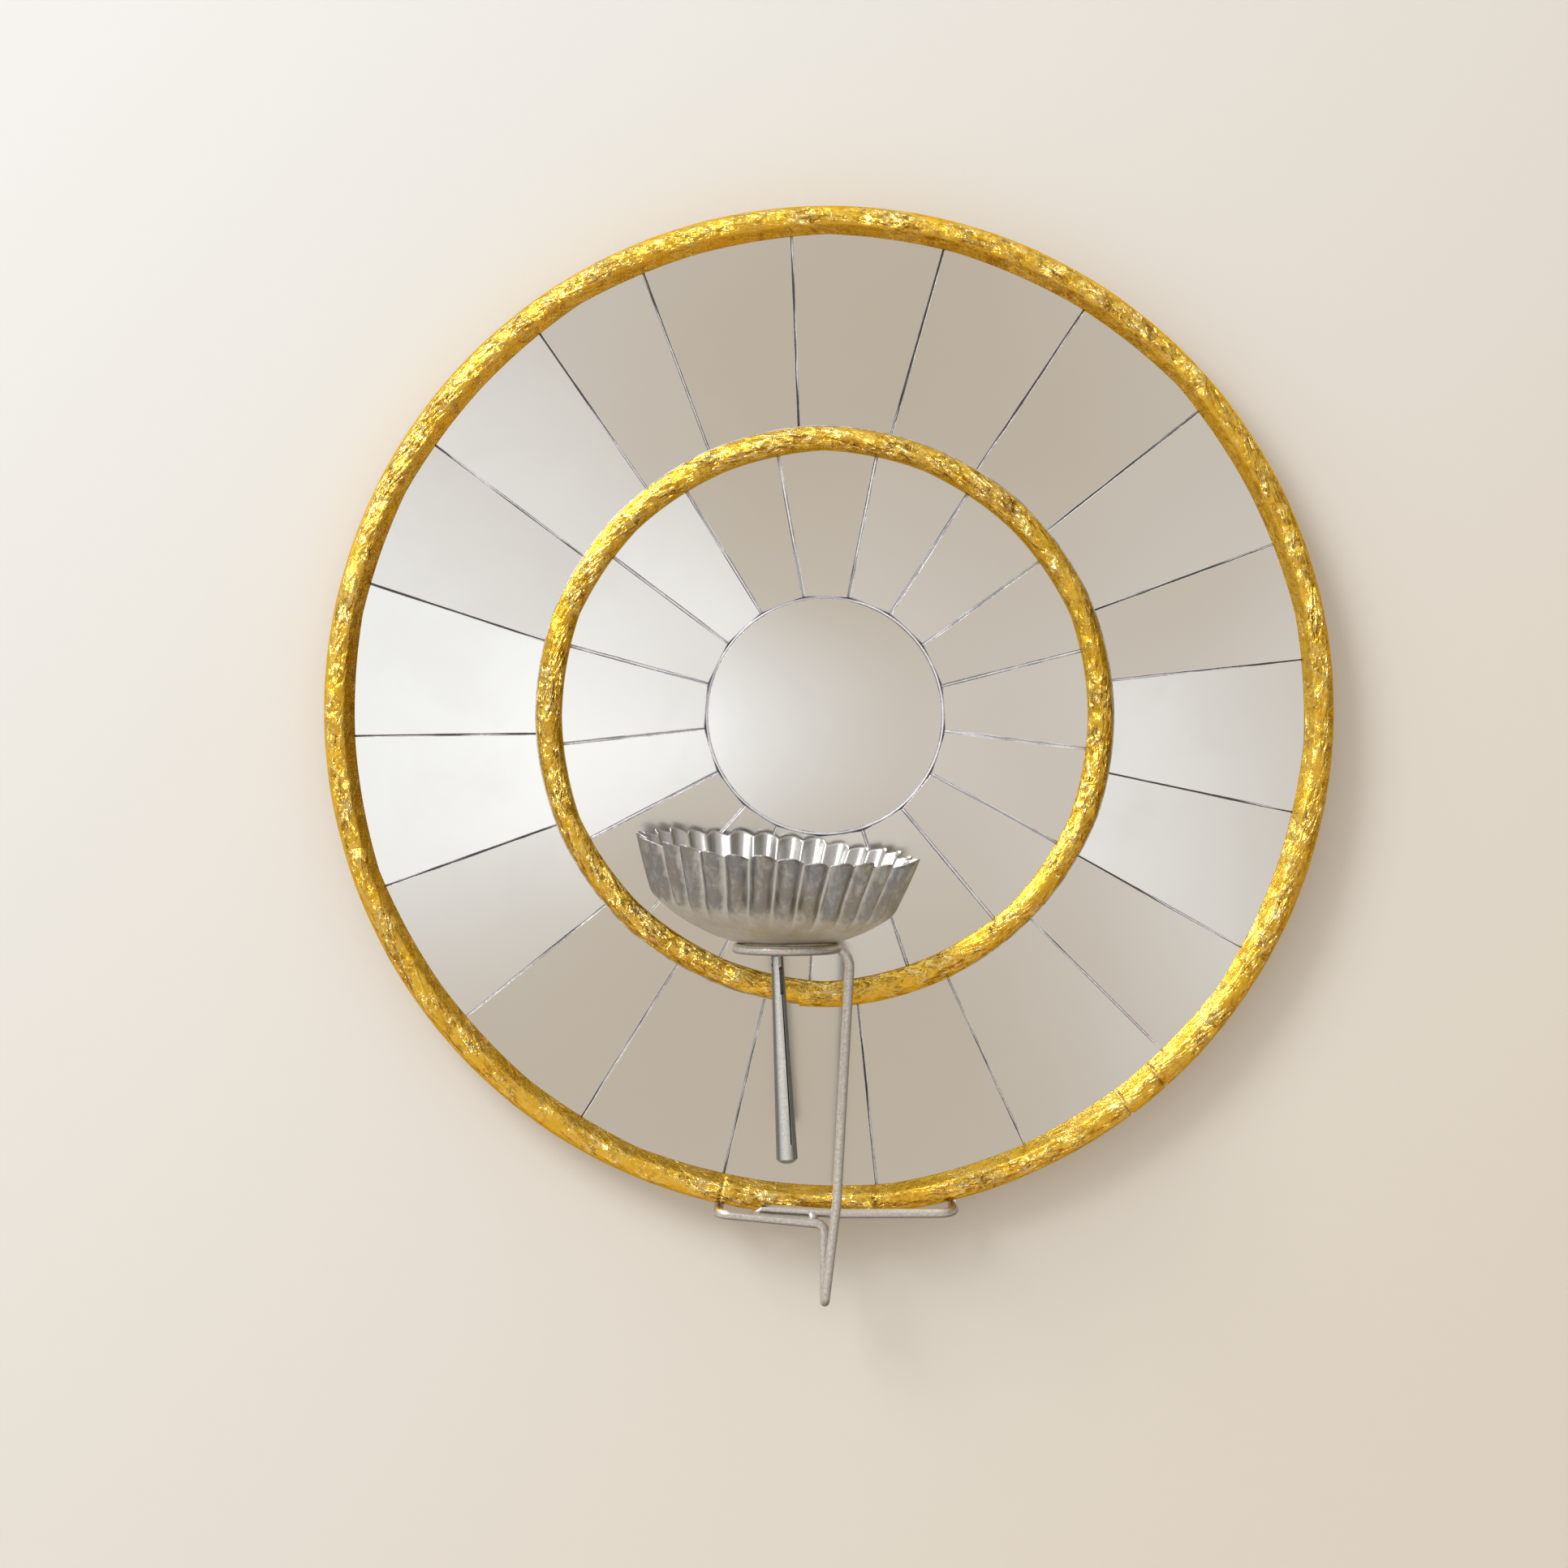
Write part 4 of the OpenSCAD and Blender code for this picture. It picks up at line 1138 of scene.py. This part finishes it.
def filled(points, spacing):
    """The same path with extra points along its straight stretches."""
    result = [points[0]]
    for before, after in zip(points, points[1:]):
        steps = max(1, int((after - before).length / spacing))
        result += [before.lerp(after, k / steps) for k in range(1, steps + 1)]
    return result


def wire_path():
    """The wire's whole middle line: the bent route, then the turn of the cup ring."""
    path = filled(rounded(wire_route(), 14), 4 * MM)
    turns = 110
    for k in range(1, turns + 1):
        a = math.radians(90 + (270 + CUP_RING_END) * k / turns)
        path.append(CUP_RING_AT + CUP_RING_R * Vector((math.cos(a), math.sin(a), 0)))
    return path


def tube_rows(path, radius, sides):
    """Rings of points round a path, carried along without twist, and the way it starts."""
    last = len(path) - 1
    ways = [(path[min(i + 1, last)] - path[max(i - 1, 0)]).normalized() for i in range(last + 1)]
    spoke = ways[0].cross(Vector((0, 0.3, 1))).normalized()
    rows = []
    for at, way in zip(path, ways):
        spoke = (spoke - way * spoke.dot(way)).normalized()
        across = way.cross(spoke)
        turns = [2 * math.pi * j / sides for j in range(sides)]
        rows.append([at + radius * (spoke * math.cos(a) + across * math.sin(a)) for a in turns])
    return rows, ways[0]


def blob(centre, radius, seed):
    """A small uneven bead of weld as points and faces."""
    rings, sides = 10, 20
    points = [centre + Vector((0, 0, -radius))]
    for i in range(1, rings):
        phi = math.pi * i / rings
        for j in range(sides):
            a = 2 * math.pi * j / sides
            way = Vector((math.sin(phi) * math.cos(a), math.sin(phi) * math.sin(a), -math.cos(phi)))
            lump = 1 + 0.12 * noise.noise(way * 2.5 + Vector((seed, 0, 0)))
            points.append(centre + way * radius * lump)
    points.append(centre + Vector((0, 0, radius)))
    top = len(points) - 1
    low = top - sides
    faces = skin_faces(rings - 1, sides, ends=False, first=1)
    for j in range(sides):
        following = (j + 1) % sides
        faces += [(0, 1 + following, 1 + j), (low + j, low + following, top)]
    return points, faces


class MIRROR_OT_wire_holder(bpy.types.Operator):
    """Bend the wire holder from its cut end to the cup ring"""
    bl_idname = "mirror.wire_holder"
    bl_label = "Wire holder"

    def execute(self, context):
        sides = sizes().wire_sides
        radius = WIRE_D / 2
        path = wire_path()
        rows, start_way = tube_rows(path, radius, sides)
        slant = 1.5
        rows[0] = [p + start_way * slant * (radius + (p - path[0]).z) for p in rows[0]]
        points = [p for row in rows for p in row]
        faces = skin_faces(len(rows), sides)
        close = math.radians(CUP_RING_END)
        welds = (
            Vector((-7 * MM, (BAR_Y + RUN_Y) / 2, BAR_Z - 1.5 * MM)),
            CUP_RING_AT + CUP_RING_R * Vector((math.cos(close), (1 + math.sin(close)) / 2, 0)),
        )
        for k, weld in enumerate(welds):
            more_points, more_faces = blob(weld, 0.55 * WIRE_D, 7.0 * k)
            start = len(points)
            points += more_points
            faces += [tuple(start + index for index in face) for face in more_faces]
        make_piece("bent_wire", points, faces, [wire_material], "root", ["wire_holder"])
        return {"FINISHED"}


# Cup

def cup_matrix():
    """From the cup's own frame, with the middle of its round base's ball at the origin."""
    reach = BALL_R + WIRE_D / 2 + SEAT_GAP
    rise = math.sqrt(reach ** 2 - CUP_RING_R ** 2)
    at = Matrix.Translation(CUP_RING_AT + Vector((0, 0, rise)))
    return at @ Matrix.Rotation(TIN_ROLL, 4, "Y") @ Matrix.Rotation(TIN_PITCH, 4, "X")


def tin_section():
    """Rows of the tin's outer side from the middle of the base to the rim.
    Each row is (radius, height, share of the flutes' depth, share of the rim's wave)."""
    rows = []
    for share_out in np.linspace(0.04, 1.0, 40):
        r = share_out * TIN_CORNER_R
        depth = BASE_FLUTE_SHARE * smoothstep(0.78, 1.04, share_out) / 0.97
        rows.append((r, BALL_R - math.sqrt(BALL_R ** 2 - r * r), depth, 0.0))
    corner_r, corner_h = rows[-1][:2]
    for up in np.linspace(0.0, 1.0, 22)[1:]:
        r = corner_r + (TIN_RIM_R - corner_r) * up
        height = corner_h + (TIN_H - RIM_WAVE - corner_h) * up
        depth = BASE_FLUTE_SHARE + (1 - BASE_FLUTE_SHARE) * smoothstep(0.0, 0.35, up)
        rows.append((r, height, depth, up ** 3))
    return rounded_shoulder(rows, 39)


def rounded_shoulder(rows, corner):
    """The same rows with the corner between base and wall worn round."""
    reach = 6
    for _ in range(5):
        before = list(rows)
        for i in range(corner - reach, corner + reach):
            r, height = ((before[i - 1][k] + 2 * before[i][k] + before[i + 1][k]) / 4 for k in (0, 1))
            rows[i] = (r, height, *before[i][2:])
    return rows


def flute_lobe(turn):
    """Height of a flute across its width: round on its crest, sharp in the fold."""
    return math.sqrt(math.sin(math.pi * turn) ** 2 + 0.004)


def tin_rows(section, inset_by, columns):
    """Points of one side of the tin, fluted and a little out of true."""
    dents = sizes().tin_dents
    rows = []
    for i, (r, height, depth, wave) in enumerate(section):
        inward = side_way(section, i) * inset_by
        row = []
        for j in range(columns):
            turn = FLUTES * j / columns
            a = 2 * math.pi * j / columns
            lobe = flute_lobe(turn)
            which = int(turn)
            own = 1 + 0.10 * math.sin(which * 2.3) + 0.05 * math.sin(which * 5.1 + 1)
            fall = FLUTE_DEPTH * depth * max(0.0, 1 - lobe) * own
            where = Vector((math.sin(a), math.cos(a), height * 12))
            dent = dents * noise.noise(where * 2.6) * (0.35 + 0.65 * depth)
            ripple = TIN_RIPPLE * noise.noise(where * 11.0) * depth
            r2 = r + inward[0] - fall + dent + ripple - dents * 0.5 * depth
            lift = wave * RIM_WAVE * (min(1.0, lobe) + 0.35 * math.sin(which * 1.7))
            row.append((r2 * math.sin(a), r2 * math.cos(a), height + inward[1] + lift - BALL_R))
        rows.append(row)
    return rows


def crest_shares(section, columns):
    """How far each point of the tin's outer side lies out on the crest of a flute; the tin's colour
    paints its dark reflection by this share.
    """
    shares = []
    for _, _, depth, _ in section:
        share_up = smoothstep(0.45, 0.85, depth)
        for j in range(columns):
            shares.append(share_up * smoothstep(0.12, 0.6, flute_lobe(FLUTES * j / columns)))
    return shares


class MIRROR_OT_cup(bpy.types.Operator):
    """Press the fluted tin cup"""
    bl_idname = "mirror.cup"
    bl_label = "Fluted cup"

    def execute(self, context):
        columns = FLUTES * 14
        section = tin_section()
        outside = tin_rows(section, 0.0, columns)
        inside = tin_rows(section, TIN_T, columns)
        rolled_up = np.array([0.0, 0.0, LIP_RISE])
        lip = [(np.array(a) + b) / 2 + rolled_up for a, b in zip(outside[-1], inside[-1])]
        rows = outside + [lip] + inside[::-1]
        where = cup_matrix()
        points = [where @ Vector(p) for row in rows for p in row]
        cup = make_piece("fluted_cup", points, turned_over(skin_faces(len(rows), columns)),
                         [tin_material], "cup", ["cup_tin"])
        crests = crest_shares(section, columns)
        give_points(cup, "crest", crests + [0.0] * (len(points) - len(crests)))
        for node in ("hanging_stud", "stud_washer"):
            dress_node(node, steel_material)
        return {"FINISHED"}


class MIRROR_OT_counterweight(bpy.types.Operator):
    """Finish the hanging weight and its pin"""
    bl_idname = "mirror.counterweight"
    bl_label = "Counterweight"

    def execute(self, context):
        for node in ("counterweight", "swing_pin"):
            dress_node(node, steel_material)
        return {"FINISHED"}


# Stage

SENSOR_W = 36
WALL_Y = 0.4 * MM
FLOOR_Z = -0.95
STAGE_REACH = 4
WALL_TOP = 3


def stage_plane(name, low_edge, high_edge, material):
    """A wide plane between two level edges, each given as (y, z)."""
    mesh = bpy.data.meshes.new(name)
    corners = [(-STAGE_REACH, *low_edge), (STAGE_REACH, *low_edge),
               (STAGE_REACH, *high_edge), (-STAGE_REACH, *high_edge)]
    mesh.from_pydata(corners, [], [(0, 1, 2, 3)])
    mesh.materials.append(material)
    plane = bpy.data.objects.new(name, mesh)
    bpy.context.scene.collection.objects.link(plane)
    return plane


def wall_material(light, warm):
    """Matt paint that is seen from its front only, painted a little darker and warmer to the lower right
    as painted shade.
    """
    material, place = new_material("wall_paint")
    # Painted shade: darker and warmer towards the lower right
    paint = (place.axis("X") - place.axis("Z")).ramp(-0.6, 0.6).blend(light, warm)
    coat(material, paint, 0.9, metallic=0.0)
    tree = place.tree
    shader = tree.nodes["Principled BSDF"]
    shader.inputs["Specular IOR Level"].default_value = 0.1
    seen = place.add("MixShader", {0: place.add("NewGeometry")["Backfacing"],
                                   1: Signal(tree, shader.outputs[0]), 2: place.add("BsdfTransparent")})
    feed(tree, tree.nodes["Material Output"], {"Surface": seen})
    return material


def floor_material(base):
    return coat(new_material("floor_paint")[0], base, 0.85, metallic=0.0)


def soft_light(name, at, size, power, tint):
    """A round soft light that points to the middle of the mirror."""
    lamp = bpy.data.lights.new(name, "AREA")
    lamp.shape = "DISK"
    lamp.size = size
    lamp.energy = power
    lamp.color = tint
    light = bpy.data.objects.new(name, lamp)
    light.location = at
    light.rotation_euler = (-Vector(at)).to_track_quat("-Z", "Y").to_euler()
    bpy.context.scene.collection.objects.link(light)


def bright_patch(x, z, centre, half_size, softness):
    """Mask of an oval patch of the surroundings, by direction."""
    across = (x - centre[0]) / half_size[0]
    up = (z - centre[1]) / half_size[1]
    return (across * across + up * up).math("SQRT").ramp(1 + softness, 1 - softness)


def make_world(stage):
    """Soft light from the upper left, and the room straight ahead that the glass reflects: warm and
    dim, paler above and to the right, with a bright window on its left and a narrow one on its far
    right. Where the camera looks past the wall, it sees the wall's colour."""
    world = bpy.data.worlds.new("studio")
    world.use_nodes = True
    bpy.context.scene.world = world
    tree = world.node_tree
    direction = add(tree, "TexCoord")["Generated"]
    x, y, z = (direction.axis(name) for name in "XYZ")
    facing = direction.group(light_group, Source=LIGHT_FROM)
    around = facing.ramp(-0.3, 0.85).blend(stage.dark_side, stage.light_side)
    middle = bright_patch(x, z, (0.06, 0.02), (0.11, 0.085), 0.4)
    upper_left = x.ramp(0.02, -0.08, 0.0, 0.6) * z.ramp(0.0, 0.1)
    near = (middle * 0.75).math("MAXIMUM", upper_left).math("MAXIMUM", x.ramp(0.08, 0.13, 0.0, 0.5))
    far = bright_patch(x, z, (0.015, 0.025), (0.138, 0.138), 0.13)
    room = (near + far.span(0.35, 0.0)).blend(stage.room, stage.pale_room)
    main_window = bright_patch(x, z, (-0.17, 0.02), (0.185, 0.085), 0.35)
    upper_pane = bright_patch(x, z, (-0.15, 0.09), (0.07, 0.05), 0.5)
    right_window = bright_patch(x, z, (0.165, -0.01), (0.045, 0.075), 0.5)
    windows = main_window.math("MAXIMUM", upper_pane * 0.95).math("MAXIMUM", right_window * 0.95)
    bright = [c * stage.window_level for c in stage.window]
    pane = bright_patch(x, z, (-0.085, 0.012), (0.042, 0.042), 0.5)
    view = pane.blend(windows.blend(room, bright), [c * 1.22 for c in bright])
    lit = y.ramp(-0.80, -0.93).blend(around, view)
    shown = add(tree, "LightPath")["Is Camera Ray"].blend(lit, stage.wall_light)
    feed(tree, tree.nodes["Background"], {"Color": shown})


class MIRROR_OT_stage(bpy.types.Operator):
    """Set up the wall, the floor, the light and the camera"""
    bl_idname = "mirror.stage"
    bl_label = "Stage, light and camera"

    def execute(self, context):
        stage = context.scene.mirror_stage
        data = bpy.data.cameras.new("camera")
        data.sensor_width = SENSOR_W
        data.lens = SENSOR_W * stage.camera_distance / stage.view_width
        data.clip_end = 50
        camera = bpy.data.objects.new("camera", data)
        camera.location = (stage.camera_x, FACE_Y - stage.camera_distance, stage.camera_z)
        camera.rotation_euler = (math.radians(90), 0, 0)
        context.scene.collection.objects.link(camera)
        context.scene.camera = camera
        wall = stage_plane("wall", (WALL_Y, FLOOR_Z), (WALL_Y, WALL_TOP),
                           wall_material(stage.wall_light, stage.wall_painted_shade))
        wall.visible_shadow = False
        wall.visible_diffuse = False
        stage_plane("floor", (-STAGE_REACH, FLOOR_Z), (WALL_Y, FLOOR_Z), floor_material(stage.floor))
        soft_light("key", (-1.3, -1.5, 1.35), 1.1, stage.key_power, (0.985, 0.99, 1.0))
        soft_light("back", (0.9, 1.5, 0.9), 1.0, stage.fill_power, (1.0, 1.0, 1.0))
        make_world(stage)
        context.scene.view_settings.view_transform = "Standard"
        return {"FINISHED"}


class MIRROR_PT_sidebar(bpy.types.Panel):
    """Lists the mirror's settings and the steps that make it"""
    bl_idname = "MIRROR_PT_sidebar"
    bl_label = "Radiating mirror"
    bl_space_type = "VIEW_3D"
    bl_region_type = "UI"
    bl_category = "Mirror"

    def draw(self, context):
        for operator in OPERATORS:
            self.layout.operator(operator.bl_idname)
        for name, _ in SETTINGS:
            group = getattr(context.scene, name)
            box = self.layout.box()
            for entry in group.__annotations__:
                box.prop(group, entry)


SETTINGS = (("mirror_sizes", MirrorSizes), ("mirror_colours", MirrorColours),
            ("mirror_stage", StageSettings))
OPERATORS = (MIRROR_OT_stage, MIRROR_OT_glass, MIRROR_OT_bed, MIRROR_OT_gold_rings, MIRROR_OT_boards,
             MIRROR_OT_fixings, MIRROR_OT_wire_holder, MIRROR_OT_cup, MIRROR_OT_counterweight)


def register():
    for name, group in SETTINGS:
        bpy.utils.register_class(group)
        setattr(bpy.types.Scene, name, bpy.props.PointerProperty(type=group))
    for operator in OPERATORS:
        bpy.utils.register_class(operator)
    bpy.utils.register_class(MIRROR_PT_sidebar)


def unregister():
    bpy.utils.unregister_class(MIRROR_PT_sidebar)
    for operator in reversed(OPERATORS):
        bpy.utils.unregister_class(operator)
    for name, group in reversed(SETTINGS):
        delattr(bpy.types.Scene, name)
        bpy.utils.unregister_class(group)


def main():
    register()
    bpy.ops.mirror.stage()
    bpy.ops.mirror.glass()
    bpy.ops.mirror.bed()
    bpy.ops.mirror.gold_rings()
    bpy.ops.mirror.boards()
    bpy.ops.mirror.fixings()
    bpy.ops.mirror.wire_holder()
    bpy.ops.mirror.cup()
    bpy.ops.mirror.counterweight()
    bpy.context.view_layer.update()


if __name__ == "__main__":
    main()
